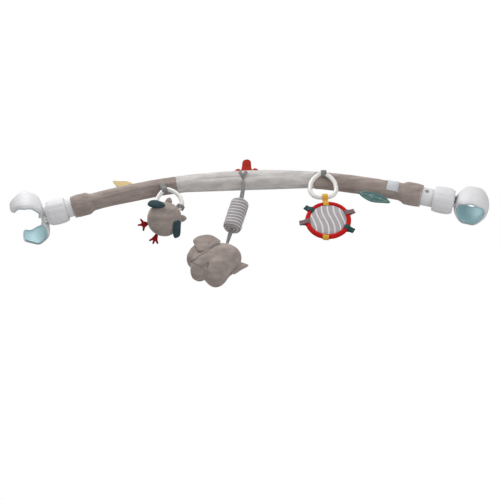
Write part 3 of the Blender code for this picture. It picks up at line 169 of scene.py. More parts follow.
class Nodes(Tree):
    """A material under construction, with short names for the nodes that are used most."""

    prefix = "ShaderNode"

    def __init__(self, name: str) -> None:
        """Start a material with a plain Principled surface."""
        self.material = bpy.data.materials.new(name)
        self.material.use_nodes = True
        super().__init__(self.material.node_tree)
        self.shader = self.tree.nodes["Principled BSDF"]

    def set(self, **values: object) -> None:
        """Set or link the surface's inputs; an underscore stands for a space."""
        for key, value in values.items():
            self.feed(self.shader.inputs[key.replace("_", " ")], value)

    def place(self, scale: Point = (1, 1, 1)) -> bpy.types.NodeSocket:
        """Return object coordinates in metres, stretched by a scale."""
        where = self.add("TexCoord").outputs["Object"]
        return self.add("Mapping", {"Vector": where, "Scale": tuple(scale)}).outputs[0]

    def noise(self, where: bpy.types.NodeSocket, size: float, detail: float = 2) -> bpy.types.NodeSocket:
        """Return a noise factor with bumps of about a size."""
        return self.add("TexNoise", {"Vector": where, "Scale": 1 / size, "Detail": detail}).outputs[0]

    def ramp(self, value: bpy.types.NodeSocket, *stops: tuple[float, Colour]) -> bpy.types.NodeSocket:
        """Return a colour read from stops of (place, linear colour)."""
        node = self.add("ValToRGB", {0: value})
        band = node.color_ramp.elements
        while len(band) < len(stops):
            band.new(0.5)
        for item, (place, colour) in zip(band, stops):
            item.position = place
            item.color = (*colour, 1)
        return node.outputs[0]

    def calc(self, kind: str, first: object, second: object = 0.0) -> bpy.types.NodeSocket:
        """Return what a math operation makes of two numbers."""
        return self.add("Math", {0: first, 1: second}, operation=kind).outputs[0]

    def blend(self, first: object, share: float, second: object) -> bpy.types.NodeSocket:
        """Return two factors added up, the first one by its share and the second by the rest."""
        parts = [self.calc("MULTIPLY", value, part) for value, part in ((first, share), (second, 1 - share))]
        return self.calc("ADD", *parts)

    def bump(self, height: bpy.types.NodeSocket, depth: float, under: object = None) -> bpy.types.NodeSocket:
        """Return a normal bumped by a height.

        Args:
            height: factor from 0 to 1.
            depth: the height of a factor of 1, in metres.
            under: an earlier bump that this one lies on.

        Returns:
            The normal.
        """
        inputs = {"Height": height, "Distance": depth, "Strength": 1.0}
        if under is not None:
            inputs["Normal"] = under
        return self.add("Bump", inputs).outputs[0]


def shade(colour: Colour, amount: float) -> Colour:
    """Return a colour made lighter or darker by a factor, kept within range."""
    return tuple(min(1.0, max(0.0, part * amount)) for part in colour)


@dataclass(frozen=True)
class Finish:
    """A surface finish, and the record's slot that it belongs to."""

    name: str
    slot: str
    colour: Colour
    roughness: float = 0.9

    def tone(self, amount: float) -> Colour:
        """Return the finish's colour made lighter or darker by a factor."""
        return shade(self.colour, amount)

    def build(self) -> bpy.types.Material:
        """Return the material, made on first use."""
        return bpy.data.materials.get(self.name) or self.paint(Nodes(self.name))

    def paint(self, nodes: Nodes) -> bpy.types.Material:
        """Fill the material with the finish's nodes."""
        raise NotImplementedError


@dataclass(frozen=True)
class Cloth(Finish):
    """A soft fabric: pile, jersey or felt, with shading that varies as the nap lies."""

    weave: Weave = Weave.PILE
    grain: float = 0.45 * MM
    relief: float = 0.10 * MM
    variety: float = 0.22
    stripes: Optional[tuple[float, float, Colour]] = None
    nap: float = 9 * MM
    nap_stretch: Point = (0.28, 1.0, 1.0)
    strand: float = 1.4 * MM
    row: float = 2.0 * MM
    fine_share: float = 0.48
    tone_shares: Point = (0.36, 0.50, 0.64)
    stripe_blur: float = 0.03
    stripe_fray: float = 0.10

    def striped(self, nodes: Nodes, ground: object, mottle: object, fine: object) -> bpy.types.NodeSocket:
        """Draw stripes with slightly frayed edges, one at each pitch along the cloth's U.

        Args:
            nodes: the material's nodes.
            ground: the cloth's colour between the stripes.
            mottle: the factor that the colours vary with.
            fine: the factor that frays the edges.

        Returns:
            The colour.
        """
        pitch, share, tint = self.stripes
        along = nodes.add("SeparateXYZ", {0: nodes.add("UVMap").outputs[0]}).outputs[0]
        beat = nodes.calc("FRACT", nodes.calc("MULTIPLY", along, 1 / pitch))
        line = nodes.calc("ABSOLUTE", nodes.calc("SUBTRACT", beat, 0.5))
        fray = nodes.calc("MULTIPLY", nodes.calc("SUBTRACT", fine, 0.5), self.stripe_fray)
        near, far = share / 2 - self.stripe_blur, share / 2 + self.stripe_blur
        edge = nodes.add("MapRange", {0: nodes.calc("ADD", line, fray), 1: near, 2: far, 3: 1.0, 4: 0.0})
        pale = nodes.ramp(mottle, (0.3, shade(tint, 0.92)), (0.7, tint))
        return nodes.add("Mix", {0: edge.outputs[0], 6: ground, 7: pale}, data_type="RGBA").outputs[2]

    def fibres(self, nodes: Nodes, where: bpy.types.NodeSocket, fine: object) -> bpy.types.NodeSocket:
        """Return the height of the weave's fibres, from the place and the fine noise."""
        if self.weave is Weave.FELT:
            strands = nodes.noise(nodes.place((1.0, 1.0, 4.0)), self.strand, 6)
            return nodes.calc("MULTIPLY", fine, strands)
        if self.weave is Weave.JERSEY:
            rows = nodes.add("TexWave", {"Vector": where, "Scale": 1 / self.row, "Distortion": 3.0})
            return nodes.calc("ADD", rows.outputs[1], fine)
        tufts = nodes.add("TexVoronoi", {"Vector": where, "Scale": 0.8 / self.grain}).outputs[0]
        return nodes.calc("ADD", fine, nodes.calc("MULTIPLY", tufts, 0.5))

    def paint(self, nodes: Nodes) -> bpy.types.Material:
        """Lay fine fibres over broad patches of nap, and stripes where the cloth has them."""
        where = nodes.place()
        fine = nodes.noise(where, self.grain, 3)
        patches = nodes.noise(nodes.place(self.nap_stretch), self.nap, 4)
        mottle = nodes.blend(fine, self.fine_share, patches)
        dark, light = self.tone(1 - self.variety), self.tone(1 + self.variety)
        colour = nodes.ramp(mottle, *zip(self.tone_shares, (dark, self.colour, light)))
        if self.stripes:
            colour = self.striped(nodes, colour, mottle, fine)
        height = self.fibres(nodes, where, fine)
        broad = nodes.bump(patches, 3 * self.relief)
        nodes.set(
            Base_Color=colour, Roughness=self.roughness, Specular_IOR_Level=0.15,
            Sheen_Weight=0.50 if self.weave is Weave.PILE else 0.10, Sheen_Roughness=0.40,
            Sheen_Tint=(*self.tone(2.2), 1), Normal=nodes.bump(height, self.relief, broad),
        )
        return nodes.material


@dataclass(frozen=True)
class Ribbon(Finish):
    """A woven ribbon, ribbed across, that reads its place from its UV map in metres."""

    rib: float = 0.55 * MM

    def paint(self, nodes: Nodes) -> bpy.types.Material:
        """Draw the ribs and the fine warp between them, with painted shade in their grooves and painted
        highlight on their crests, and some wear.
        """
        parts = nodes.add("SeparateXYZ", {0: nodes.add("UVMap").outputs[0]})
        ribs, warp = (
            nodes.calc("SINE", nodes.calc("MULTIPLY", parts.outputs[axis], beats * math.pi / self.rib))
            for axis, beats in ((1, 2), (0, 4))
        )
        cloth = nodes.add("MapRange", {0: nodes.calc("ADD", ribs, warp), 1: -2.0, 2: 2.0}).outputs[0]
        factor = nodes.blend(cloth, 0.6, nodes.noise(nodes.place(), 3 * MM, 4))
        # low parts of the weave take the ramp's dark end as painted shade in the grooves, and the crests take
        # its light end as painted highlight; the mixed-in noise is tone that differs at random
        colour = nodes.ramp(factor, (0.2, self.tone(0.68)), (0.5, self.colour), (0.8, self.tone(1.35)))
        nodes.set(
            Base_Color=colour, Roughness=self.roughness, Specular_IOR_Level=0.3,
            Sheen_Weight=0.15, Normal=nodes.bump(cloth, 0.12 * MM),
        )
        return nodes.material


@dataclass(frozen=True)
class Plastic(Finish):
    """Moulded plastic or rubber with a faint mould texture, scuffs and a soft gloss."""

    coat: float = 0.0
    texture: float = 0.012 * MM
    subsurface: float = 0.0

    def paint(self, nodes: Nodes) -> bpy.types.Material:
        """Vary the colour and the gloss a little, as handled plastic does."""
        where = nodes.place()
        cloud = nodes.noise(where, 22 * MM, 4)
        colour = nodes.ramp(cloud, (0.3, self.tone(0.95)), (0.7, self.tone(1.03)))
        rub = nodes.noise(where, 5 * MM, 5)
        rough = nodes.add("MapRange", {0: rub, 3: self.roughness - 0.07, 4: self.roughness + 0.09})
        grain = nodes.noise(where, 0.5 * MM)
        nodes.set(
            Base_Color=colour, Roughness=rough.outputs[0], Coat_Weight=self.coat, Coat_Roughness=0.2,
            Subsurface_Weight=self.subsurface, Subsurface_Scale=2 * MM,
            Normal=nodes.bump(grain, self.texture, nodes.bump(cloud, 0.15 * MM)),
        )
        return nodes.material


@dataclass(frozen=True)
class Metal(Finish):
    """Plain turned steel."""

    def paint(self, nodes: Nodes) -> bpy.types.Material:
        """Draw fine turning marks over a slightly uneven tone."""
        marks = nodes.noise(nodes.place((1, 1, 6)), 0.8 * MM, 4)
        colour = nodes.ramp(marks, (0.3, self.tone(0.8)), (0.7, self.tone(1.1)))
        rough = nodes.add("MapRange", {0: marks, 3: self.roughness - 0.1, 4: self.roughness + 0.12})
        bumped = nodes.bump(marks, 0.02 * MM)
        nodes.set(Base_Color=colour, Roughness=rough.outputs[0], Metallic=1.0, Normal=bumped)
        return nodes.material


@dataclass(frozen=True)
class Backdrop(Finish):
    """The plain white studio surface, white to the camera and dull to everything else."""

    def paint(self, nodes: Nodes) -> bpy.types.Material:
        """Show white in camera, glossy and transmission rays, and a matt white otherwise."""
        rays = nodes.add("LightPath").outputs
        seen = nodes.calc("MAXIMUM", rays["Is Camera Ray"], rays["Is Glossy Ray"])
        seen = nodes.calc("MAXIMUM", seen, rays["Is Transmission Ray"])
        plain = nodes.add("Emission", {"Color": (*self.colour, 1), "Strength": 1.0})
        both = nodes.add("MixShader", {0: seen, 1: nodes.shader.outputs[0], 2: plain.outputs[0]})
        nodes.feed(nodes.tree.nodes["Material Output"].inputs[0], both.outputs[0])
        nodes.set(Base_Color=(*self.tone(0.8), 1), Roughness=self.roughness)
        return nodes.material


STRIPE_TINT = (0.80, 0.78, 0.79)
TAUPE = Cloth("taupe velour", "velour_taupe", (0.335, 0.278, 0.253), variety=0.34)
TAUPE_TOY = Cloth("taupe toy plush", "velour_taupe", (0.345, 0.292, 0.267), grain=0.6 * MM,
                  relief=0.14 * MM, variety=0.26)
GREY = Cloth("grey velour", "velour_grey", (0.57, 0.545, 0.53), variety=0.28)
SLATE = Cloth("slate jersey", "fabric_slate", (0.042, 0.075, 0.088), weave=Weave.JERSEY)
STRIPED_ROLL = Cloth(
    "striped jersey of the roll", "fabric_striped", (0.34, 0.315, 0.32), weave=Weave.JERSEY,
    variety=0.12, stripes=(5.5 * MM, 0.24, STRIPE_TINT),
)
STRIPED_DISC = Cloth(
    "striped jersey of the disc", "fabric_striped", (0.42, 0.39, 0.405), weave=Weave.JERSEY,
    variety=0.10, stripes=(8.8 * MM, 0.23, STRIPE_TINT),
)
RED_CLOTH = Cloth("red jersey", "fabric_red", (0.56, 0.012, 0.010), weave=Weave.JERSEY, variety=0.14)
WINE_FELT = Cloth("wine felt", "felt_wine", (0.26, 0.006, 0.010), weave=Weave.FELT)
RED_FELT = Cloth("red felt", "felt_red", (0.36, 0.022, 0.012), weave=Weave.FELT)
YELLOW_FELT = Cloth("yellow felt", "felt_yellow", (0.68, 0.53, 0.27), weave=Weave.FELT)
GREEN_FELT = Cloth("green felt", "felt_green", (0.075, 0.155, 0.15), weave=Weave.FELT)
LABEL = Ribbon("label satin", "label_white", (0.62, 0.64, 0.68), 0.6, rib=0.3 * MM)
GREY_RIBBON = Ribbon("grey ribbon", "ribbon_grey", (0.235, 0.23, 0.222))
GREEN_RIBBON = Ribbon("green ribbon", "ribbon_green", (0.014, 0.062, 0.058))
MAUVE_RIBBON = Ribbon("mauve ribbon", "ribbon_mauve", (0.21, 0.135, 0.135))
YELLOW_RIBBON = Ribbon("yellow ribbon", "ribbon_yellow", (0.78, 0.43, 0.045))
WHITE_PLASTIC = Plastic("white plastic", "plastic_white", (0.74, 0.74, 0.755), 0.55, coat=0.03)
RING_PLASTIC = Plastic("ring plastic", "plastic_ring", (0.80, 0.79, 0.77), 0.26, coat=0.35, subsurface=0.1)
AQUA_RUBBER = Plastic("aqua liner", "liner_aqua", (0.40, 0.60, 0.64), 0.55, texture=0.05 * MM)
DARK_STRIP = Plastic("spring strip", "strip_plastic", (0.10, 0.10, 0.11), 0.5)
STEEL = Metal("screw steel", "steel", (0.50, 0.50, 0.51), 0.36)
FOAM = Cloth("foam tube", "foam", (0.78, 0.76, 0.70), weave=Weave.FELT)
FILLING = Cloth("fibre filling", "filling", (0.80, 0.80, 0.78), weave=Weave.FELT)
CUFF_THREAD = Cloth("cuff thread", "velour_taupe", (0.62, 0.56, 0.53), weave=Weave.FELT, grain=0.2 * MM)
TAUPE_THREAD = Cloth("taupe thread", "velour_taupe", (0.24, 0.20, 0.185), weave=Weave.FELT, grain=0.2 * MM)
PALE_THREAD = Cloth("pale thread", "felt_green", (0.42, 0.50, 0.47), weave=Weave.FELT, grain=0.2 * MM)
RED_THREAD = Cloth("red thread", "fabric_red", (0.42, 0.01, 0.01), weave=Weave.FELT, grain=0.2 * MM)
STUDIO = Backdrop("studio white", "label_white", (1.0, 1.0, 1.0), 1.0)


def finish_piece(
    name: str, mesh: bpy.types.Mesh, finish: Finish, body: str, nodes: Sequence[str] = (),
) -> bpy.types.Object:
    """Turn a mesh into a dressed piece that rides on a body.

    Args:
        name: the piece's name.
        mesh: its mesh, in world metres.
        finish: what it is made of.
        body: the CAD body that carries it.
        nodes: the CAD nodes that it stands for.

    Returns:
        The piece.
    """
    mesh.name = name
    mesh.materials.clear()
    mesh.materials.append(finish.build())
    made = bpy.data.objects.new(name, mesh)
    bpy.context.scene.collection.objects.link(made)
    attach(made, body)
    if nodes:
        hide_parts(*nodes)
    LOG.info("%s: %d faces on %s", name, len(mesh.polygons), body)
    return made


def to_mesh(shape: bmesh.types.BMesh, sharp_deg: float = 40) -> bpy.types.Mesh:
    """Close a bmesh into a smooth-shaded mesh with its faces outward.

    Args:
        shape: the bmesh, which is freed.
        sharp_deg: edges sharper than this stay sharp.

    Returns:
        The mesh.
    """
    bmesh.ops.remove_doubles(shape, verts=shape.verts, dist=0.002 * MM)
    bmesh.ops.recalc_face_normals(shape, faces=shape.faces)
    mesh = bpy.data.meshes.new("piece")
    shape.to_mesh(mesh)
    shape.free()
    mesh.shade_smooth()
    mesh.set_sharp_from_angle(angle=math.radians(sharp_deg))
    return mesh


def dressed(
    node: str, kind: str, shape: bmesh.types.BMesh, finish: Finish, body: str, sharp_deg: float = 50,
) -> bpy.types.Object:
    """Turn a bmesh into the piece that stands for one CAD node.

    Args:
        node: the CAD node, and the first part of the piece's name.
        kind: the last part of the piece's name.
        shape: the bmesh, in world metres, which is freed.
        finish: what it is made of.
        body: the CAD body that carries it.
        sharp_deg: edges sharper than this stay sharp.

    Returns:
        The piece.
    """
    return finish_piece(f"{node}_{kind}", to_mesh(shape, sharp_deg), finish, body, (node,))


def skin(
    rings: Sequence[Sequence[Vector]], closed: bool = False,
    chart: Optional[Sequence[Sequence[Point]]] = None,
) -> bmesh.types.BMesh:
    """Skin a row of rings that have the same number of points.

    Args:
        rings: the rings' points.
        closed: joins the last ring to the first; otherwise both ends are capped.
        chart: a UV place for each point, in metres.

    Returns:
        The bmesh.
    """
    shape = bmesh.new()
    layer = shape.loops.layers.uv.new("place")
    rows = [[shape.verts.new(point) for point in ring] for ring in rings]
    faces = []
    count = len(rows[0])
    for low, high in list(zip(rows, rows[1:])) + ([(rows[-1], rows[0])] if closed else []):
        for i in range(count):
            j = (i + 1) % count
            faces.append(shape.faces.new((low[i], low[j], high[j], high[i])))
    if not closed:
        faces += [shape.faces.new(rows[0]), shape.faces.new(reversed(rows[-1]))]
    if chart:
        spots = {vert: mark for row, marks in zip(rows, chart) for vert, mark in zip(row, marks)}
        for face in faces:
            for loop in face.loops:
                loop[layer].uv = spots[loop.vert]
    return shape


def lathe(profile: Sequence[Point], sides: int, place: Matrix) -> bmesh.types.BMesh:
    """Spin a closed profile of (along X, radius) points about X.

    Args:
        profile: the points.
        sides: number of facets.
        place: where the axis stands.

    Returns:
        The bmesh.
    """
    rings = [
        [place @ Vector((along, radius * math.cos(a), radius * math.sin(a))) for a in angles(sides)]
        for along, radius in profile
    ]
    return skin(rings, closed=True)


def moved(shape: bmesh.types.BMesh, place: Matrix) -> bmesh.types.BMesh:
    """Place a bmesh and return it."""
    bmesh.ops.transform(shape, matrix=place, verts=shape.verts)
    return shape


def blob(
    size: Point, place: Matrix, form: Optional[Callable[[Vector], Vector]] = None,
    sides: int = 40, rows: int = 24, into: Optional[bmesh.types.BMesh] = None,
) -> bmesh.types.BMesh:
    """Make an ellipsoid whose unit points a form may move first.

    Args:
        size: its overall size.
        place: where it stands.
        form: moves a unit point.
        sides: facets round it.
        rows: facets from pole to pole.
        into: a bmesh to add to.

    Returns:
        The bmesh.
    """
    shape = bmesh.new()
    bmesh.ops.create_uvsphere(shape, u_segments=sides, v_segments=rows, radius=1)
    for vert in shape.verts:
        point = form(vert.co.copy()) if form else vert.co.copy()
        vert.co = place @ Vector(side * share / 2 for side, share in zip(size, point))
    return shape if into is None else joined(shape, into)


def joined(part: bmesh.types.BMesh, into: bmesh.types.BMesh) -> bmesh.types.BMesh:
    """Add one bmesh to another, free the first and return the second."""
    held = bpy.data.meshes.new("held")
    part.to_mesh(held)
    part.free()
    into.from_mesh(held)
    bpy.data.meshes.remove(held)
    return into


def pillow(outline: Sequence[Point], thickness: float, place: Matrix, rows: int = 12) -> bmesh.types.BMesh:
    """Fill a closed outline with a thin stuffed shape.

    Args:
        outline: its (x, z) corner points, rounded here.
        thickness: how thick it is in the middle, along Y.
        place: where it stands.
        rows: rings from the middle to the rim.

    Returns:
        The bmesh.
    """
    points = smooth_loop(outline, 8)
    middle = Vector((sum(x for x, _ in points), sum(z for _, z in points))) / len(points)
    shares = spread(0.04, 1, rows)
    rings = []
    for side, row in ((-1, shares), (1, shares[-2::-1])):
        for share in row:
            deep = side * thickness / 2 * math.sqrt(max(0.0, 1 - share ** 3))
            rings.append([
                place @ Vector((middle.x + (x - middle.x) * share, deep, middle.y + (z - middle.y) * share))
                for x, z in points
            ])
    shape = skin(rings)
    bmesh.ops.recalc_face_normals(shape, faces=shape.faces)
    return shape


def rounded(shape: bmesh.types.BMesh, width: float, steps: int = 2) -> bmesh.types.BMesh:
    """Round the sharp edges of a bmesh.

    Args:
        shape: the bmesh.
        width: how far the rounding reaches.
        steps: facets across it.

    Returns:
        The same bmesh.
    """
    bmesh.ops.remove_doubles(shape, verts=shape.verts, dist=0.002 * MM)
    bmesh.ops.recalc_face_normals(shape, faces=shape.faces)
    shape.normal_update()
    edges = [e for e in shape.edges if e.is_manifold and e.calc_face_angle(0) > math.radians(35)]
    bmesh.ops.bevel(
        shape, geom=edges, offset=width, segments=steps, profile=0.5, affect="EDGES",
        clamp_overlap=True,
    )
    return shape


@dataclass(frozen=True)
class Stuffing:
    """Turns joined solids into one stuffed fabric skin by remeshing and cloth pressure."""

    voxel: float = 1.8 * MM
    blend_steps: int = 10
    pressure: float = 4.0
    cap: float = 1.2 * MM
    frames: int = 20
    grow: float = 10.0

    def fill(self, shape: bmesh.types.BMesh) -> bmesh.types.BMesh:
        """Blend, inflate and refine a shape.

        Args:
            shape: one or more closed solids, which are freed.

        Returns:
            The stuffed skin, subdivided once.
        """
        moved(shape, Matrix.Scale(self.grow, 4))
        bmesh.ops.recalc_face_normals(shape, faces=shape.faces)
        mesh = bpy.data.meshes.new("stuffed")
        shape.to_mesh(mesh)
        shape.free()
        body = bpy.data.objects.new("stuffed", mesh)
        bpy.context.scene.collection.objects.link(body)
        body.modifiers.new("remesh", "REMESH").mode = "VOXEL"
        body.modifiers["remesh"].voxel_size = self.voxel * self.grow
        smooth = body.modifiers.new("smooth", "SMOOTH")
        smooth.factor, smooth.iterations = 0.5, self.blend_steps
        body.data = self._baked(body)
        body.modifiers.clear()
        self._inflate(body)
        body.modifiers.new("fine", "SUBSURF").levels = 1
        fine = self._baked(body)
        bpy.data.objects.remove(body)
        made = bmesh.new()
        made.from_mesh(fine)
        moved(made, Matrix.Scale(1 / self.grow, 4))
        made.normal_update()
        return made

    def _baked(self, body: bpy.types.Object) -> bpy.types.Mesh:
        """Return the object's evaluated mesh."""
        bpy.context.view_layer.update()
        return bpy.data.meshes.new_from_object(body.evaluated_get(bpy.context.evaluated_depsgraph_get()))

    def _inflate(self, body: bpy.types.Object) -> None:
        """Press the skin outward as filling does, and hold each point within the cap."""
        before = [vert.co.copy() for vert in body.data.vertices]
        cloth = body.modifiers.new("cloth", "CLOTH")
        cloth.settings.quality = 4
        cloth.settings.use_pressure = True
        cloth.settings.uniform_pressure_force = self.pressure
        cloth.settings.effector_weights.gravity = 0
        cloth.point_cache.frame_end = self.frames
        scene = bpy.context.scene
        for number in range(1, self.frames + 1):
            scene.frame_set(number)
            bpy.context.view_layer.update()
        swollen = self._baked(body)
        body.modifiers.clear()
        limit = self.cap * self.grow
        for vert, old in zip(swollen.vertices, before):
            step = vert.co - old
            if step.length > limit:
                vert.co = old + step * (limit / step.length)
        body.data = swollen
        scene.frame_set(1)


def felt_slab(outline: Sequence[Point], front: float, thickness: float, edge: float) -> bmesh.types.BMesh:
    """Cut a flat shape from felt, with softly rounded edges.

    Args:
        outline: its (x, z) points.
        front: the front face's place along Y.
        thickness: the felt's thickness.
        edge: how far the rounding of its edges reaches.

    Returns:
        The bmesh.
    """
    shape = bmesh.new()
    face = shape.faces.new([shape.verts.new((x, front, z)) for x, z in outline])
    made = bmesh.ops.extrude_face_region(shape, geom=[face])
    back = [item for item in made["geom"] if isinstance(item, bmesh.types.BMVert)]
    bmesh.ops.translate(shape, vec=(0, thickness, 0), verts=back)
    rounded(shape, edge, 3)
    bmesh.ops.triangulate(shape, faces=[f for f in shape.faces if len(f.verts) > 4])
    return shape


@dataclass(frozen=True)
class Thread:
    """Sewing thread laid as separate stitches by Geometry Nodes."""

    length: float
    thickness: float

    def lay(self, name: str, spots: Sequence[Spot], finish: Finish, body: str) -> bpy.types.Object:
        """Lay one stitch at each spot.

        Args:
            name: the piece's name.
            spots: the place and direction of each stitch.
            finish: the thread's finish.
            body: the CAD body that carries it.

        Returns:
            The piece.
        """
        mesh = bpy.data.meshes.new(name)
        mesh.from_pydata([tuple(place) for place, _ in spots], [], [])
        aim = mesh.attributes.new("aim", "FLOAT_VECTOR", "POINT")
        aim.data.foreach_set("vector", np.array([tuple(way) for _, way in spots], np.float32).ravel())
        return grown(name, mesh, stitch_tree(), {
            "Stitch length": self.length, "Thread thickness": self.thickness, "Finish": finish.build(),
        }, finish, body)


def grown(
    name: str, guide: bpy.types.Mesh, tree: bpy.types.NodeTree, inputs: dict, finish: Finish,
    body: str, nodes: Sequence[str] = (),
) -> bpy.types.Object:
    """Run a Geometry Nodes tree on a guide mesh and keep the result as a plain piece.

    Args:
        name: the piece's name.
        guide: the mesh that the tree reads.
        tree: the tree.
        inputs: values by the tree's input names.
        finish: the piece's finish.
        body: the CAD body that carries it.
        nodes: the CAD nodes that it stands for.

    Returns:
        The piece.
    """
    holder = bpy.data.objects.new(name + " guide", guide)
    bpy.context.scene.collection.objects.link(holder)
    step = holder.modifiers.new("grow", "NODES")
    step.node_group = tree
    sockets = {s.name: s.identifier for s in tree.interface.items_tree if s.in_out == "INPUT"}
    for key, value in inputs.items():
        step[sockets[key]] = value
    bpy.context.view_layer.update()
    done = holder.evaluated_get(bpy.context.evaluated_depsgraph_get())
    mesh = bpy.data.meshes.new_from_object(done)
    holder.modifiers.clear()
    bpy.data.objects.remove(holder)
    return finish_piece(name, mesh, finish, body, nodes)


class GeometryTree(Tree):
    """A Geometry Nodes tree under construction, with named inputs."""

    def __init__(self, name: str, inputs: Sequence[tuple[str, str]]) -> None:
        """Start a tree with a geometry input, further inputs and a geometry output."""
        super().__init__(bpy.data.node_groups.new(name, "GeometryNodeTree"))
        face = self.tree.interface
        for label, kind in (("Geometry", "Geometry"), *inputs):
            face.new_socket(name=label, in_out="INPUT", socket_type="NodeSocket" + kind)
        face.new_socket(name="Geometry", in_out="OUTPUT", socket_type="NodeSocketGeometry")
        self.given = self.tree.nodes.new("NodeGroupInput").outputs
        self.result = self.tree.nodes.new("NodeGroupOutput").inputs[0]

    def end(self, made: bpy.types.NodeSocket) -> bpy.types.NodeTree:
        """Realize, smooth and dress the result."""
        real = self.add("GeometryNodeRealizeInstances", {0: made})
        soft = self.add("GeometryNodeSetShadeSmooth", {0: real.outputs[0]})
        done = self.add("GeometryNodeSetMaterial", {0: soft.outputs[0], "Material": self.given["Finish"]})
        self.feed(self.result, done.outputs[0])
        return self.tree


def stitch_tree() -> bpy.types.NodeTree:
    """Return the tree that puts a stitch on each point, turned along the point's aim."""
    found = bpy.data.node_groups.get("stitches")
    if found:
        return found
    inputs = (("Stitch length", "Float"), ("Thread thickness", "Float"), ("Finish", "Material"))
    work = GeometryTree("stitches", inputs)
    given = work.given
    bead = work.add("GeometryNodeMeshUVSphere", {"Segments": 8, "Rings": 5, "Radius": 0.5})
    thick = given["Thread thickness"]
    size = work.add("ShaderNodeCombineXYZ", {0: given["Stitch length"], 1: thick, 2: thick})
    aim = work.add("GeometryNodeInputNamedAttribute", {"Name": "aim"}, data_type="FLOAT_VECTOR")
    way = work.add("FunctionNodeAlignRotationToVector", {"Vector": aim.outputs[0]}, axis="X")
    laid = work.add("GeometryNodeInstanceOnPoints", {
        "Points": given[0], "Instance": bead.outputs[0], "Rotation": way.outputs[0], "Scale": size.outputs[0],
    })
    return work.end(laid.outputs[0])


def wire_tree() -> bpy.types.NodeTree:
    """Return the tree that sweeps a round section along the guide's edges."""
    found = bpy.data.node_groups.get("wire")
    if found:
        return found
    work = GeometryTree("wire", (("Radius", "Float"), ("Sides", "Int"), ("Finish", "Material")))
    given = work.given
    path = work.add("GeometryNodeMeshToCurve", {0: given[0]})
    circle = {"Resolution": given["Sides"], "Radius": given["Radius"]}
    section = work.add("GeometryNodeCurvePrimitiveCircle", circle)
    sweep = {0: path.outputs[0], 1: section.outputs[0], "Fill Caps": True}
    return work.end(work.add("GeometryNodeCurveToMesh", sweep).outputs[0])


def wire(
    name: str, points: Sequence[Vector], radius: float, sides: int, finish: Finish, body: str,
    nodes: Sequence[str],
) -> bpy.types.Object:
    """Sweep a round wire along a closed line.

    Args:
        name: the piece's name.
        points: its centreline.
        radius: half its thickness.
        sides: facets round the wire.
        finish: what it is made of.
        body: the CAD body that carries it.
        nodes: the CAD nodes that it stands for.

    Returns:
        The piece.
    """
    guide = bpy.data.meshes.new(name)
    count = len(points)
    guide.from_pydata([tuple(p) for p in points], [(i, (i + 1) % count) for i in range(count)], [])
    inputs = {"Radius": radius, "Sides": sides, "Finish": finish.build()}
    return grown(name, guide, wire_tree(), inputs, finish, body, nodes)


def paced(points: Sequence[Vector], pitch: float, closed: bool = False) -> list[Spot]:
    """Walk along a line and return evenly spaced places with their direction.

    Args:
        points: the line's points.
        pitch: the wished distance between places.
        closed: the line is a loop.

    Returns:
        The spots.
    """
    line = list(points) + ([points[0]] if closed else [])
    steps = [(b - a).length for a, b in zip(line, line[1:])]
    total = sum(steps)
    count = max(1, round(total / pitch))
    spots = []
    for k in range(count):
        want = total * (k + 0.5) / count
        i = 0
        while i < len(steps) - 1 and want > steps[i]:
            want -= steps[i]
            i += 1
        spots.append((line[i].lerp(line[i + 1], want / steps[i]), (line[i + 1] - line[i]).normalized()))
    return spots


def on_skin(points: Iterable[Vector], shape: bmesh.types.BMesh, lift: float = 0.0) -> list[Vector]:
    """Move points to the nearest place on a skin, lifted off it by a little."""
    tree = BVHTree.FromBMesh(shape)
    found = [tree.find_nearest(point) for point in points]
    return [place + normal * lift for place, normal, _, _ in found]


def struck(tree: BVHTree, rays: Iterable[Spot]) -> list[Vector]:
    """Return where rays meet a skin, leaving out those that miss it.

    Args:
        tree: the skin's search tree.
        rays: each ray's start and direction.

    Returns:
        The places.
    """
    hits = [tree.ray_cast(start, way)[0] for start, way in rays]
    return [hit for hit in hits if hit]


def dent(
    shape: bmesh.types.BMesh, lines: Sequence[Sequence[Vector]], depth: float, width: float,
    pucker: float = 0.0,
) -> None:
    """Press sewn lines into a skin.

    Args:
        shape: the skin.
        lines: the seams' points.
        depth: how deep a seam lies.
        width: how far its sides reach.
        pucker: depth of the small folds beside it.
    """
    step, fold = 0.4 * MM, 2.4 * MM
    shape.normal_update()
    for line in lines:
        grid = np.array([tuple(place) for place, _ in paced(line, step)])
        for vert in shape.verts:
            away = np.linalg.norm(grid - np.array(vert.co), axis=1)
            near = int(away.argmin())
            if away[near] < 4 * width:
                beat = math.sin(near * step / fold * 2 * math.pi)
                folds = pucker * beat * dip(away[near] - width, width)
                vert.co -= vert.normal * (depth * dip(away[near], width) + folds)


def ruffle(shape: bmesh.types.BMesh, depth: float, size: float, seed: float) -> None:
    """Give a skin the soft unevenness of hand-filled fabric."""
    shape.normal_update()
    for vert in shape.verts:
        broad = rumple(vert.co, size, seed)
        small = rumple(vert.co, size / 2.7, seed + 3)
        vert.co += vert.normal * depth * (0.7 * broad + 0.3 * small)


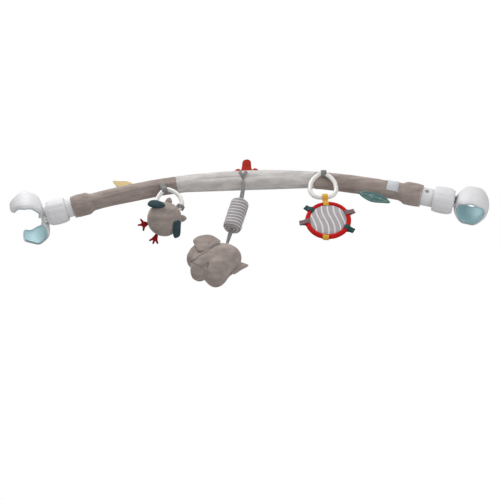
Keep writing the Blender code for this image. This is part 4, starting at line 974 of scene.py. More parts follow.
def tape(
    path: Sequence[Vector], width: float, thickness: float, across: Optional[Sequence[Vector]] = None,
    widths: Optional[Sequence[float]] = None,
) -> bmesh.types.BMesh:
    """Sweep a flat ribbon with rounded edges along a path.

    Args:
        path: the ribbon's middle line.
        width: its width.
        thickness: its thickness.
        across: the direction across the ribbon at each point, or X at all of them.
        widths: shares of the width at each point, where it is pinched.

    Returns:
        The bmesh, with its UV map in metres.
    """
    rings, chart = [], []
    gone = 0.0
    for i, point in enumerate(path):
        behind, ahead = path[max(i - 1, 0)], path[min(i + 1, len(path) - 1)]
        gone += (point - behind).length
        way = (ahead - behind).normalized()
        side = across[i] if across else ALONG_X
        side = (side - way * side.dot(way)).normalized()
        face = way.cross(side)
        half = width / 2 * (widths[i] if widths else 1)
        rim = half - thickness * 0.35
        marks = [(-half, 0), (-rim, 0.5), (0, 0.56), (rim, 0.5)]
        marks += [(half, 0), (rim, -0.5), (0, -0.44), (-rim, -0.5)]
        rings.append([point + side * x + face * (y * thickness) for x, y in marks])
        chart.append([(x, gone) for x, _ in marks])
    return skin(rings, chart=chart)


def dress_nodes(names: Iterable[str], finish: Finish) -> None:
    """Give CAD nodes that stay a better finish."""
    for name in names:
        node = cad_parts[name]
        node.data.materials.clear()
        node.data.materials.append(finish.build())
        for face in node.data.polygons:
            face.material_index = 0
        LOG.info("%s keeps its CAD form in %s", name, finish.name)


@dataclass
class Arch:
    """The bar: its line, its three covers and the stitches on its cuffs."""

    radius: float = 808 * MM
    arc_half_length: float = 240 * MM
    cuff_end: float = 276 * MM
    seam: float = 109.4 * MM
    seam_depth: float = 1.1 * MM
    cover_radius: float = 13.5 * MM
    cover_wall: float = 1.3 * MM
    cuff_radius: float = 16.2 * MM
    cuff_pile: float = 1.4 * MM
    cuff_length: float = 30 * MM
    cuff_lead: float = 3 * MM
    cuff_fall: float = 2.4 * MM
    cuff_inside: float = 14.7 * MM
    socket_reach: float = 33.7 * MM
    socket_flare: float = 7.2 * MM
    gathers: int = 30
    gather_depth: float = 0.35 * MM
    grip_from_cuff: float = 75 * MM
    sides: int = 120
    pitch: float = 1.5 * MM
    crease_deg: float = -40
    origin: Vector = field(default_factory=Vector)

    def __post_init__(self) -> None:
        """Stand the arch so that the left grip's centre is the origin."""
        self.origin = -(self.clamp(Side.LEFT) @ Vector((self.grip_from_cuff, 0, 0)))

    def cuff_swell(self, size: float, degrees: float) -> float:
        """Return how far the cuff stands off the cover.

        Args:
            size: distance from the crown along the bar.
            degrees: angle round the bar.

        Returns:
            The swelling, rounded at the cuff's end, with its gathers and its two grooves.
        """
        reach = size - (self.cuff_end - self.cuff_length)
        if reach <= -self.cuff_lead:
            return 0.0
        far = max(0.0, min(1.0, reach / self.cuff_length))
        first_share = 0.33
        rise = min(1.0, first_share + 3.2 * far) if reach > 0 else first_share * (1 + reach / self.cuff_lead)
        last = max(0.0, (far - 0.6) / 0.4)
        out = (self.cuff_radius + self.cuff_pile - self.cover_radius) * rise
        out -= self.cuff_fall * (1 - math.sqrt(1 - last ** 2))
        out += self.gather_depth * last * math.cos(math.radians(self.gathers * degrees))
        for depth, place, width in ((0.7 * MM, 0.5 * MM, 1.2 * MM), (0.35 * MM, 26 * MM, 0.8 * MM)):
            out -= depth * dip(reach - place, width)
        return out

    def crease(self, along: float, degrees: float) -> float:
        """Return the height of the sewn crease along the left cover, with the swells beside it.

        Args:
            along: distance from the crown along the bar.
            degrees: angle round the bar.

        Returns:
            The height.
        """
        line = self.crease_deg + 3 * math.sin(along / (30 * MM))
        away = (degrees - line + 180) % 360 - 180
        folds = ((-2.0 * MM, 0, 5), (-0.6 * MM, -24, 4), (0.35 * MM, -14, 9), (0.30 * MM, 16, 10))
        return sum(height * dip(away - place, width) for height, place, width in folds)

    def at(self, along: float) -> Matrix:
        """Return the frame on the bar's line: X along it, Z outward, Y to the back."""
        bent = max(-self.arc_half_length, min(self.arc_half_length, along))
        angle = bent / self.radius
        rest = along - bent
        x = self.radius * math.sin(angle) + rest * math.cos(angle)
        z = self.radius * (math.cos(angle) - 1) - rest * math.sin(angle)
        return Matrix.Translation(Vector((x, 0, z)) + self.origin) @ Matrix.Rotation(angle, 4, "Y")

    def clamp(self, side: Side) -> Matrix:
        """Return a clamp's frame: X outward along the bar's end."""
        place = self.at(side.value * self.cuff_end)
        return place if side is Side.RIGHT else place @ turn("Z", 180)

    def skin_point(self, along: float, degrees: float, radius: float) -> Vector:
        """Return a point round the bar, at an angle from the front towards the top."""
        a = math.radians(degrees)
        return self.at(along) @ Vector((0, -radius * math.cos(a), radius * math.sin(a)))

    def cover_depth(self, along: float, degrees: float) -> float:
        """Return the cover's radius at a place, with its cuff, seam, wrinkles and crease."""
        size, turned = abs(along), math.radians(degrees)
        out = self.cover_radius + self.cuff_swell(size, degrees)
        y, z = 2 * math.cos(turned) * out, 2 * math.sin(turned) * out
        folds = 0.30 * MM * rumple(Vector((along, y, z)), 9 * MM, 2.0)
        folds += 0.22 * MM * rumple(Vector((along / 5, y, z)), 7 * MM, 5.0)
        gathered = 0.28 * MM * dip(size - self.seam, 9 * MM)
        folds += gathered * rumple(Vector((along / 4, y * 2, z * 2)), 5 * MM, 8.0)
        out += folds - self.seam_depth * dip(size - self.seam, 0.9 * MM)
        if along < -self.seam and size < self.cuff_end - self.cuff_length:
            out += self.crease(along, degrees)
        return out

    def lining(self, start: float, end: float) -> list[tuple[float, float]]:
        """Return a sleeve's inside, which is wider in a cuff, where the socket stands.

        Args:
            start: where the sleeve begins along the bar.
            end: where it ends.

        Returns:
            The (along, radius) points, from the end back to the start.
        """
        step, plain = self.cuff_end - self.socket_reach, self.cover_radius - self.cover_wall
        points = []
        for along in (start, end):
            if abs(along) < self.cuff_end:
                points.append((along, plain))
                continue
            sign = math.copysign(1, along)
            points += [(along, self.cuff_inside), (sign * (step + self.socket_flare), self.cuff_inside)]
            points.append((sign * step, plain))
        return sorted(points, reverse=True)

    def cover(self, name: str, start: float, end: float, finish: Finish) -> None:
        """Build one cover as a closed sleeve.

        Args:
            name: the node that it replaces.
            start: where it begins along the bar.
            end: where it ends.
            finish: its velour.
        """
        round_bar = turns(self.sides)
        rows = spread(start, end, round((end - start) / self.pitch))
        rings = [[self.skin_point(s, a, self.cover_depth(s, a)) for a in round_bar] for s in rows]
        rings += [[self.skin_point(s, a, radius) for a in round_bar] for s, radius in self.lining(start, end)]
        made = dressed(name, "velour", skin(rings, closed=True), finish, "root", 60)

    def cuff_stitches(self, side: Side) -> None:
        """Sew the overlock over a cuff's edge, and a row of stitches beside it."""
        sign = side.value
        rim, row = (sign * (self.cuff_end - back) for back in (1.3 * MM, 4 * MM))
        way = self.at(sign * self.cuff_end).to_3x3() @ Vector((1, 0.25, 0))
        edge_depth = sign * (self.cuff_end - MM)
        edge = [
            (self.skin_point(rim, a, self.cover_depth(edge_depth, a) + 0.25 * MM), way) for a in turns(30)
        ]
        Thread(3.0 * MM, 1.0 * MM).lay(side.word + "_cuff_overlock", edge, CUFF_THREAD, "root")
        line = [self.skin_point(row, a, self.cover_depth(row, a) + 0.05 * MM) for a in turns(90)]
        spots = paced(line, 2.6 * MM, True)
        Thread(1.9 * MM, 0.45 * MM).lay(side.word + "_cuff_topstitch", spots, TAUPE_THREAD, "root")

    def build(self) -> None:
        """Build the covers with their stitches, and dress what lies inside them."""
        self.cover("cover_left", -self.cuff_end, -self.seam - GAP / 2, TAUPE)
        self.cover("cover_centre", -self.seam + GAP / 2, self.seam - GAP / 2, GREY)
        self.cover("cover_right", self.seam + GAP / 2, self.cuff_end, TAUPE)
        dress_nodes(("arch_foam",), FOAM)
        dress_nodes(("arch_core",), DARK_STRIP)
        for side in Side:
            self.cuff_stitches(side)


@dataclass
class Trims:
    """The felt flower, the two felt leaves and the care label, sewn on the bar."""

    arch: Arch
    thickness: float = 2.0 * MM
    flower_height: float = 27 * MM
    flower_half_width: float = 18 * MM
    flower_dome: float = 6.9 * MM
    green_size: tuple[float, float] = (50 * MM, 22 * MM)
    yellow_size: tuple[float, float] = (33 * MM, 21 * MM)
    label_place: float = 231 * MM
    label_width: float = 19 * MM
    flower_place: float = 1.5 * MM
    yellow_place: float = -191 * MM
    green_place: float = 206 * MM
    green_angle: float = -62

    def flower_outline(self) -> list[tuple[float, float]]:
        """Return the flower's outline: a dome between two side lobes."""
        w, h, r = self.flower_half_width, self.flower_height, self.flower_dome
        lobe_shares = ((-0.6, 0), (-1.0, 0.06), (-0.97, 0.19), (-0.72, 0.27), (-0.47, 0.20))
        half = [(w * x, h * z) for x, z in lobe_shares]
        dome = [(r * math.cos(a), h - r * (1 - math.sin(a))) for a in spread(math.pi, 0, 12)]
        return half + dome + [(-x, z) for x, z in reversed(half)]

    def felt(
        self, name: str, outline: Sequence[Point], place: Matrix, finish: Finish, lean: float,
    ) -> None:
        """Build a felt shape with soft edges and a slight curl.

        Args:
            name: the node that it replaces.
            outline: its (x, z) corner points, rounded here.
            place: where it stands.
            finish: its felt.
            lean: how far its tip curls to the back.
        """
        thick = self.thickness
        shape = felt_slab(smooth_loop(outline, 4), -thick / 2, thick, thick * 0.35)
        for vert in shape.verts:
            vert.co.y += lean * (vert.co.z / (20 * MM)) ** 2 + 0.25 * MM * rumple(vert.co, 8 * MM, 4)
        dressed(name, "cut", moved(shape, place), finish, "root")

    def build(self) -> None:
        """Build the trims with their stitches."""
        arch = self.arch
        seat = shift(0, 0, arch.cover_radius + GAP)
        place = arch.at(self.flower_place) @ seat
        self.felt("felt_flower_red", self.flower_outline(), place, RED_FELT, 0.5 * MM)
        w, h = self.yellow_size
        shares = ((-0.50, 0.92), (-0.2, 0.72), (0.1, 0.60), (0.34, 0.34), (0.44, 0), (-0.2, 0), (-0.40, 0.36))
        place = arch.at(self.yellow_place) @ seat
        self.felt("felt_leaf_yellow", [(w * x, h * z) for x, z in shares], place, YELLOW_FELT, 0.6 * MM)
        self.green_leaf()
        self.label()

    def green_leaf(self) -> None:
        """Build the green leaf with its stitched edge and veins."""
        w, h = self.green_size
        edge_shares = ((-0.5, -0.30), (-0.34, -0.20), (-0.1, -0.16), (0.16, -0.20), (0.36, -0.42),
                       (0.52, -0.80), (0.3, -0.92), (-0.05, -0.98), (-0.36, -0.66))
        spine_shares = ((-0.44, -0.36), (-0.15, -0.48), (0.15, -0.60), (0.42, -0.76))
        outline, spine = ([(w * x, h * z) for x, z in shares] for shares in (edge_shares, spine_shares))
        angle = math.radians(self.green_angle)
        out = self.arch.cover_radius + GAP + self.thickness / 2
        place = self.arch.at(self.green_place) @ shift(0, -out * math.cos(angle), out * math.sin(angle))
        self.felt("felt_leaf_green", outline, place, GREEN_FELT, 0.0)
        front = -self.thickness / 2 - 0.10 * MM

        def lifted(points: Iterable[Point], pitch: float, closed: bool = False) -> list[Spot]:
            """Return the stitches' spots along outline points, on the leaf's front face."""
            return paced([place @ Vector((x, front, z)) for x, z in points], pitch, closed)

        loop = smooth_loop([(x * 0.90, h * -0.45 + (z + h * 0.45) * 0.84) for x, z in outline], 4)
        spots = lifted(loop, 2.2 * MM, True)
        Thread(1.7 * MM, 0.5 * MM).lay("green_leaf_edging", spots, PALE_THREAD, "root")
        veins = [spine]
        for (x, z), (dx, dz) in zip(spine[:3], ((7, 3.2), (7, 3.0), (5, 1.8))):
            veins.append([(x, z), (x + dx * MM, z + dz * MM)])
            veins.append([(x, z), (x + dx * 0.9 * MM, z - dz * 1.4 * MM)])
        spots = [spot for vein in veins for spot in lifted(vein, 1.5 * MM)]
        Thread(1.8 * MM, 0.6 * MM).lay("green_leaf_veins", spots, PALE_THREAD, "root")

    def label(self) -> None:
        """Build the blank label, which wraps the bar's front and top and is stitched along one edge."""
        arch, half = self.arch, self.label_width / 2
        path = [
            arch.skin_point(self.label_place, a, arch.cover_radius + 0.75 * MM) for a in spread(-42, 66, 30)
        ]
        path.append(arch.skin_point(self.label_place, 70, arch.cover_radius + 1.5 * MM))
        across = [arch.at(self.label_place).to_3x3() @ ALONG_X] * len(path)
        dressed("care_label", "blank", tape(path, 1.88 * half, 0.5 * MM, across), LABEL, "root", 60)
        edge = self.label_place - (half - 0.9 * MM)
        row = [arch.skin_point(edge, a, arch.cover_radius + 1.05 * MM) for a in spread(-46, 48, 12)]
        Thread(1.5 * MM, 0.35 * MM).lay("care_label_stitches", paced(row, 2.2 * MM), LABEL, "root")


def curve_through(points: Sequence[Vector], steps: int) -> list[tuple[float, float]]:
    """Round a line through its points, but for the first and the last, which only guide it.

    Args:
        points: the points.
        steps: places from one point to the next.

    Returns:
        The Catmull-Rom curve's places.
    """
    made = []
    for a, b, c, d in zip(points, points[1:], points[2:], points[3:]):
        for t in spread(0, 1, steps)[:-1]:
            square, cube = 2 * a - 5 * b + 4 * c - d, 3 * b - a - 3 * c + d
            made.append(0.5 * (2 * b + (c - a) * t + square * t * t + cube * t ** 3))
    return [tuple(p) for p in made]


def smooth_line(corners: Sequence[Point], steps: int) -> list[tuple[float, float]]:
    """Round an open line through its corner points, with some steps between two of them."""
    line = [Vector(corner) for corner in corners]
    guided = [2 * line[0] - line[1], *line, 2 * line[-1] - line[-2]]
    return curve_through(guided, steps) + [tuple(corners[-1])]


def smooth_loop(outline: Sequence[Point], steps: int) -> list[tuple[float, float]]:
    """Round a closed outline through its corner points, with some steps between two of them."""
    loop = [Vector(corner) for corner in outline]
    return curve_through([loop[-1], *loop, *loop[:2]], steps)


@dataclass
class Clamp:
    """A screw clamp: collar nut, two barrel jaws with liners, and the parts they turn on."""

    arch: Arch
    side: Side
    swivel_deg: float
    closed: float
    pin: float = 44 * MM
    grip: float = 31 * MM
    jaw_radius: float = 25.5 * MM
    jaw_edge: float = 23 * MM
    end_half: float = 11.0 * MM
    swell: float = 8.5 * MM
    wave: float = 1.0 * MM
    wave_beats: float = 6
    wall: float = 2.4 * MM
    rib: float = 0.35 * MM
    rib_beats: float = 4.5
    rim_share: float = 0.86
    rim_step: float = 0.8 * MM
    liner_wall: float = 1.8 * MM
    liner_inset: float = 0.6 * MM
    liner_gap: float = 0.5 * MM
    open_deg: float = 36
    knuckle: float = 4.5 * MM
    knuckle_inner: float = 5.15 * MM
    knuckle_outer: float = 10.0 * MM
    collar_back: float = 10 * MM
    travel: float = 8 * MM
    collar_length: float = 28.5 * MM
    collar_radius: float = 20.25 * MM
    collar_end: float = 18.6 * MM
    collar_step: float = 0.75 * MM
    collar_bore: float = 16.6 * MM
    collar_mouth: float = 17.7 * MM
    flats: int = 12
    flat_depth: float = 0.55 * MM
    sides: int = 96

    def collar_profile(self) -> list[tuple[float, float]]:
        """Return the collar's (along, radius) points, from the arch's side outward and back inside."""
        long, low, high = self.collar_length, self.collar_end, self.collar_end + self.collar_step
        points = [(0, self.collar_bore), (0, low - 0.7 * MM), (0.25 * MM, low - 0.2 * MM), (0.8 * MM, low)]
        points += [(2.6 * MM, low + 0.15 * MM), (2.9 * MM, low + 0.55 * MM), (3.4 * MM, high)]
        for s in spread(4.4 * MM, long - 4.0 * MM, 18):
            share = (s - 3.4 * MM) / (long - 6.4 * MM)
            points.append((s, high + (self.collar_radius - high) * math.sin(share * math.pi) ** 0.6))
        points += [(long - 3.0 * MM, high), (long - 2.6 * MM, low + 0.4 * MM)]
        points += [(long - 0.7 * MM, low + 0.1 * MM), (long - 0.2 * MM, low - 0.2 * MM)]
        points.append((long, low - 0.8 * MM))
        inside = long - 1.7 * MM
        return points + [(long, self.collar_mouth), (inside, self.collar_mouth), (inside, self.collar_bore)]

    @property
    def seat(self) -> Matrix:
        """Return the swivel's frame."""
        return self.arch.clamp(self.side) @ turn("X", self.swivel_deg)

    def collar(self) -> None:
        """Build the collar nut: a barrel with a step near each end and shallow grip flats."""
        place = self.seat @ shift(self.collar_back + self.travel * self.closed, 0, 0)
        barrel = self.collar_end + 0.7 * MM
        rings = []
        for along, radius in self.collar_profile():
            ring = []
            for a in angles(self.sides):
                flat = self.flat_depth * (0.5 + 0.5 * math.cos(self.flats * a)) ** 5
                out = radius - flat if radius > barrel else radius
                ring.append(place @ Vector((along, out * math.cos(a), out * math.sin(a))))
            rings.append(ring)
        word = self.side.word
        dressed(word + "_collar", "moulded", skin(rings, closed=True), WHITE_PLASTIC, word + "_nut", 38)

    def scoop(
        self, depth: float, inset: float, wall: float, rib: float = 0.0, step: float = 0.0,
    ) -> bmesh.types.BMesh:
        """Build half of a hollow barrel with wavy rims.

        Args:
            depth: how far it lies under the jaw's outside.
            inset: how far its rims stand back from the shell's.
            wall: its wall.
            rib: height of the lengthwise ribs on the outside.
            step: depth of the step along the rims.

        Returns:
            The bmesh, on the +Y side of the grip's axis.
        """
        outer, edge = self.jaw_radius - depth, self.jaw_edge - depth
        start = math.asin(GAP / (outer - wall))
        rings = []
        for angle in spread(start, math.pi - start, 60):
            wide = self.end_half + self.swell * math.sin(angle) - inset
            wide += self.wave * math.cos(self.wave_beats * angle)
            rise, fall = [], []
            for share in spread(-1, 1, 32):
                crown = edge + (outer - edge) * math.sqrt(max(0, 1 - share * share))
                crest = max(0.0, math.cos(share * self.rib_beats * math.pi)) ** 4
                lift = rib * crest * (1 - abs(share)) ** 0.3
                low = step if abs(share) > self.rim_share else 0.0
                rise.append((crown - low + lift, wide * share))
                fall.append((crown - wall, wide * share))
            x, y = math.cos(angle), math.sin(angle)
            rings.append([Vector((self.grip + r * x, r * y, w)) for r, w in rise + fall[::-1]])
        return skin(rings)

    def jaw(self, name: str, sign: int, double: bool) -> None:
        """Build a jaw and its liner.

        Args:
            name: front or back.
            sign: the side of the grip that it closes from.
            double: it has two knuckles, with the other jaw's between them.
        """
        opened = self.open_deg * (1 - self.closed)
        place = self.seat @ shift(self.pin, 0, 0) @ turn("Z", sign * opened)
        place = place @ Matrix.Diagonal((1, sign, 1, 1))
        shape = self.scoop(0.0, 0.0, self.wall, self.rib, self.rim_step)
        inner, outer = self.knuckle_inner, self.knuckle_outer
        spans = ((inner + GAP, outer), (-outer, -inner - GAP)) if double else ((-inner, inner),)
        for low, high in spans:
            for part in self.knuckle_parts(low, high):
                joined(part, shape)
        body = f"{self.side.word}_{name}"
        dressed(body + "_jaw", "moulded", moved(shape, place), WHITE_PLASTIC, body, 35)
        liner = self.scoop(self.wall + self.liner_gap, self.liner_inset, self.liner_wall)
        dressed(body + "_liner", "soft", moved(liner, place), AQUA_RUBBER, body)

    def knuckle_parts(self, low: float, high: float) -> list[bmesh.types.BMesh]:
        """Return a knuckle's tube and the neck that joins it to the shell.

        Args:
            low: where the knuckle begins along the pin.
            high: where it ends.

        Returns:
            The two bmeshes.
        """
        bore, out, edge = 2.3 * MM, self.knuckle, 0.4 * MM
        profile = [(low, bore), (low, out - edge), (low + edge, out)]
        profile += [(high - edge, out), (high, out - edge), (high, bore)]
        neck = bmesh.new()
        size = (8.6 * MM, 5.0 * MM, high - low - 0.2 * MM)
        middle = (2.8 * MM + size[0] / 2, GAP / 2 + size[1] / 2, (low + high) / 2)
        bmesh.ops.create_cube(neck, size=1, matrix=Matrix.Translation(middle) @ Matrix.Diagonal((*size, 1)))
        return [lathe(profile, 40, turn("Y", -90)), rounded(neck, 0.7 * MM)]

    def build(self) -> None:
        """Build the moulded parts and dress the nodes that stay."""
        word = self.side.word
        self.collar()
        front = -self.side.value
        self.jaw("front", front, self.side is Side.RIGHT)
        self.jaw("back", -front, self.side is Side.LEFT)
        dress_nodes((word + "_socket", word + "_jaw_carrier", word + "_thrust_ring"), WHITE_PLASTIC)
        dress_nodes((word + "_socket_screw", word + "_jaw_pin"), STEEL)


@dataclass
class Ring:
    """A plastic ring: round at the top and squarer below."""

    radius: float = 21 * MM
    drop: float = 26 * MM
    wire: float = 3.7 * MM
    square: float = 0.72
    taper: float = 0.30
    shoulder: float = 0.35

    def point(self, degrees: float) -> Vector:
        """Return a point of its centreline, by its turn clockwise from the top."""
        across, up = math.sin(math.radians(degrees)), math.cos(math.radians(degrees))
        narrow = 1 - self.taper * max(0.0, up + self.shoulder)
        if up >= 0:
            return Vector((self.radius * across * narrow, 0, self.radius * up))
        wide = math.copysign(abs(across) ** self.square, across)
        return Vector((self.radius * wide * narrow, 0, -self.drop * abs(up) ** self.square))

    def build(self, name: str, place: Matrix) -> None:
        """Build the ring at a place; it rides on the body of its own name."""
        line = [place @ self.point(degrees) for degrees in turns(144)]
        even = [spot for spot, _ in paced(line, 1.1 * MM, True)]
        wire(name + "_moulded", even, self.wire, 24, RING_PLASTIC, name, (name,))


def folded_loop(
    reach: float, width: float, hole: float = 4.3 * MM, thickness: float = 0.9 * MM,
) -> bmesh.types.BMesh:
    """Return a ribbon folded round a wire along X, with its two plies sewn together below.

    Args:
        reach: from the wire to the end of the tail, towards -Z.
        width: the ribbon's width.
        hole: the fold's inside radius.
        thickness: one ply's thickness.

    Returns:
        The bmesh.
    """
    mean = hole + thickness / 2
    half = thickness * 0.52
    away = math.asin(half / mean) * 3.2
    tail = spread(reach, mean * 1.35, 5)
    path = [Vector((0, half, -z)) for z in tail]
    bend = spread(away, 2 * math.pi - away, 28)
    path += [Vector((0, mean * math.sin(a), -mean * math.cos(a))) for a in bend]
    path += [Vector((0, -half, -z)) for z in reversed(tail)]
    return tape(path, width, thickness)


def aim_down(start: Vector, end: Vector) -> Matrix:
    """Return a turn about X that points -Z from start to end in the YZ plane."""
    reach = end - start
    return Matrix.Rotation(math.atan2(reach.y, -reach.z), 4, "X")


@dataclass
class Owl:
    """The owl: a stuffed ball with ears, wings and felt feet, on a ring."""

    arch: Arch
    ring: Ring = field(default_factory=lambda: Ring(wire=3.3 * MM))
    radius: float = 27 * MM
    thickness: float = 50 * MM
    from_crown: Point = (-116.3 * MM, -34.0 * MM, -100.6 * MM)
    lean: float = 58
    nod: float = 20
    spin: float = 35
    ear_angle: float = 37
    wing_angle: float = 75
    foot_angle: float = 24
    loop_from_crown: float = -131 * MM
    loop_angle: float = -22
    loop_lean: float = -20
    ring_lean: float = -12
    loop_width: float = 8.5 * MM
    ring_front: float = 17 * MM
    loop_drop: float = 16 * MM
    tab_on_ring: float = 132
    tab_forward: float = 50
    tab_reach: float = 6.5 * MM
    tab_width: float = 5.5 * MM

    @property
    def centre(self) -> Vector:
        """Return the body's middle."""
        return self.arch.origin + Vector(self.from_crown)

    @property
    def seat(self) -> Matrix:
        """Return the body's frame: crown up, face to the front, before it leans, nods and spins."""
        middle = Matrix.Translation(self.centre)
        return middle @ turn("Y", self.lean) @ turn("X", self.nod) @ turn("Z", self.spin)

    def hang(self) -> None:
        """Build the loop, the ring and the tab, whose tail goes on into the body."""
        sewn = self.arch.skin_point(self.loop_from_crown, self.loop_angle, SEWN_RADIUS)
        lean, tip = turn("Y", self.loop_lean), turn("Y", self.ring_lean)
        fall = Vector((0, -self.ring_front - sewn.y, -self.loop_drop))
        wire_spot = sewn + lean @ fall
        place = Matrix.Translation(wire_spot) @ lean @ aim_down(fall, Vector())
        loop = moved(folded_loop(fall.length, self.loop_width), place)
        dressed("owl_loop", "woven", loop, GREY_RIBBON, "owl_hanger")
        middle = wire_spot + lean @ Vector((0, 0, -self.ring.radius))
        self.ring.build("owl_ring", Matrix.Translation(middle) @ tip)
        behind, spot, ahead = (middle + tip @ self.ring.point(self.tab_on_ring + k) for k in (-1, 0, 1))
        along = (ahead - behind).normalized()
        outward, forward = Vector((0, 1, 0)).cross(along), math.radians(self.tab_forward)
        tail = (outward * math.cos(forward) + Vector((0, -math.sin(forward), 0))).normalized()
        turned = Matrix((along, (-tail).cross(along), -tail)).transposed().to_4x4()
        shape = moved(folded_loop(self.tab_reach, self.tab_width), Matrix.Translation(spot) @ turned)
        start = spot + tail * (self.tab_reach - 1.0 * MM)
        inward = (self.centre - start).normalized()
        stalk = [start + inward * reach for reach in (0, 3 * MM, 9 * MM)]
        joined(tape(stalk, self.tab_width, 1.8 * MM, [along] * 3), shape)
        dressed("owl_tab", "woven", shape, GREY_RIBBON, "owl")

    def body(self) -> None:
        """Build the ball with its back and side seams."""
        wide, deep = 2 * self.radius - 2 * MM, self.thickness - 2 * MM
        plush = Stuffing(cap=1.0 * MM).fill(blob((wide, deep, wide), self.seat))
        ruffle(plush, 0.45 * MM, 13 * MM, 1.0)
        pole = Vector((0, 0, self.radius))
        lines = []
        for around in (0, 90, 180, 270):
            side = self.seat @ turn("Z", around)
            lines.append(on_skin([side @ turn("X", t) @ pole for t in spread(8, 172, 60)], plush))
        dent(plush, lines, 0.8 * MM, 1.1 * MM, 0.12 * MM)
        made = dressed("owl_body", "plush", plush, TAUPE_TOY, "owl", 60)

    def ear(self, side: Side) -> None:
        """Build a pointed ear tuft."""
        def point_up(p: Vector) -> Vector:
            """Draw the tuft's top in to a point."""
            if p.z > 0:
                p.x *= 1 - 0.5 * p.z * p.z
                p.y *= 1 - 0.4 * p.z
            return p

        place = self.seat @ turn("Y", side.value * self.ear_angle) @ shift(0, 0, self.radius)
        shape = blob((10 * MM, 6 * MM, 12.4 * MM), place, point_up, 28, 18)
        ruffle(shape, 0.2 * MM, 4 * MM, side.value)
        made = dressed(f"owl_ear_{side.word}", "plush", shape, TAUPE_TOY, "owl", 60)

    def wing(self, side: Side) -> None:
        """Build a slate wing: a flat stuffed leaf with two sewn grooves, pointed on the left one."""
        sign = side.value
        place = self.seat @ turn("Y", sign * self.wing_angle) @ turn("X", 32)
        place = place @ shift(0, 0, self.radius + 1.6 * MM)
        flat = place @ turn("Z", sign * 35) @ turn("Y", -sign * 14) @ turn("X", 90)
        pointed = ((14, 0), (9, 4.4), (2, 6.6), (-6, 7.0), (-12.4, 4.8))
        blunt = ((14, 0), (12.6, 4.8), (6, 6.4), (-6, 6.4), (-12.6, 4.8))
        half = pointed if side is Side.LEFT else blunt
        outline = [*half, (-14.3, 0), *((x, -z) for x, z in reversed(half[1:]))]
        shape = pillow([(-sign * x * MM, z * MM) for x, z in outline], 7.4 * MM, flat)
        grooves = [
            on_skin([flat @ (Vector((x, face * 5, z)) * MM) for x in spread(-10, 10, 12)], shape)
            for face in (-1, 1) for z in (-2.4, 2.4)
        ]
        dent(shape, grooves, 0.6 * MM, 0.7 * MM)
        ruffle(shape, 0.3 * MM, 5 * MM, 7 + sign)
        made = dressed(f"owl_wing_{side.word}", "jersey", shape, SLATE, "owl", 60)

    def foot(self, side: Side) -> None:
        """Build a three-toed felt foot."""
        half, heel, ankle = 1.7 * MM, -2 * MM, Vector((0, 4.2 * MM))
        points: list[tuple[float, float]] = [(half, heel)]
        for degrees in ((36, -7, -50) if side is Side.LEFT else (70, 8, -66)):
            a = math.radians(degrees)
            out = Vector((math.sin(a), math.cos(a)))
            across = Vector((out.y, -out.x)) * half
            root, tip = ankle + out * 4.6 * MM, ankle + out * 10.4 * MM
            shoulder, narrow = tip - out * 1.2 * MM, across * 0.75
            toe = (root + across, shoulder + narrow, tip, shoulder - narrow, root - across)
            points += [tuple(corner) for corner in toe]
        points.append((-half, heel))
        place = self.seat @ turn("Y", 180 + side.value * self.foot_angle) @ shift(0, 0, self.radius)
        shape = moved(felt_slab(points, -1.1 * MM, 2.6 * MM, 0.6 * MM), place)
        dressed(f"owl_foot_{side.word}", "cut", shape, WINE_FELT, "owl")

    def build(self) -> None:
        """Build the owl."""
        self.hang()
        self.body()
        for side in Side:
            self.ear(side)
            self.wing(side)
            self.foot(side)


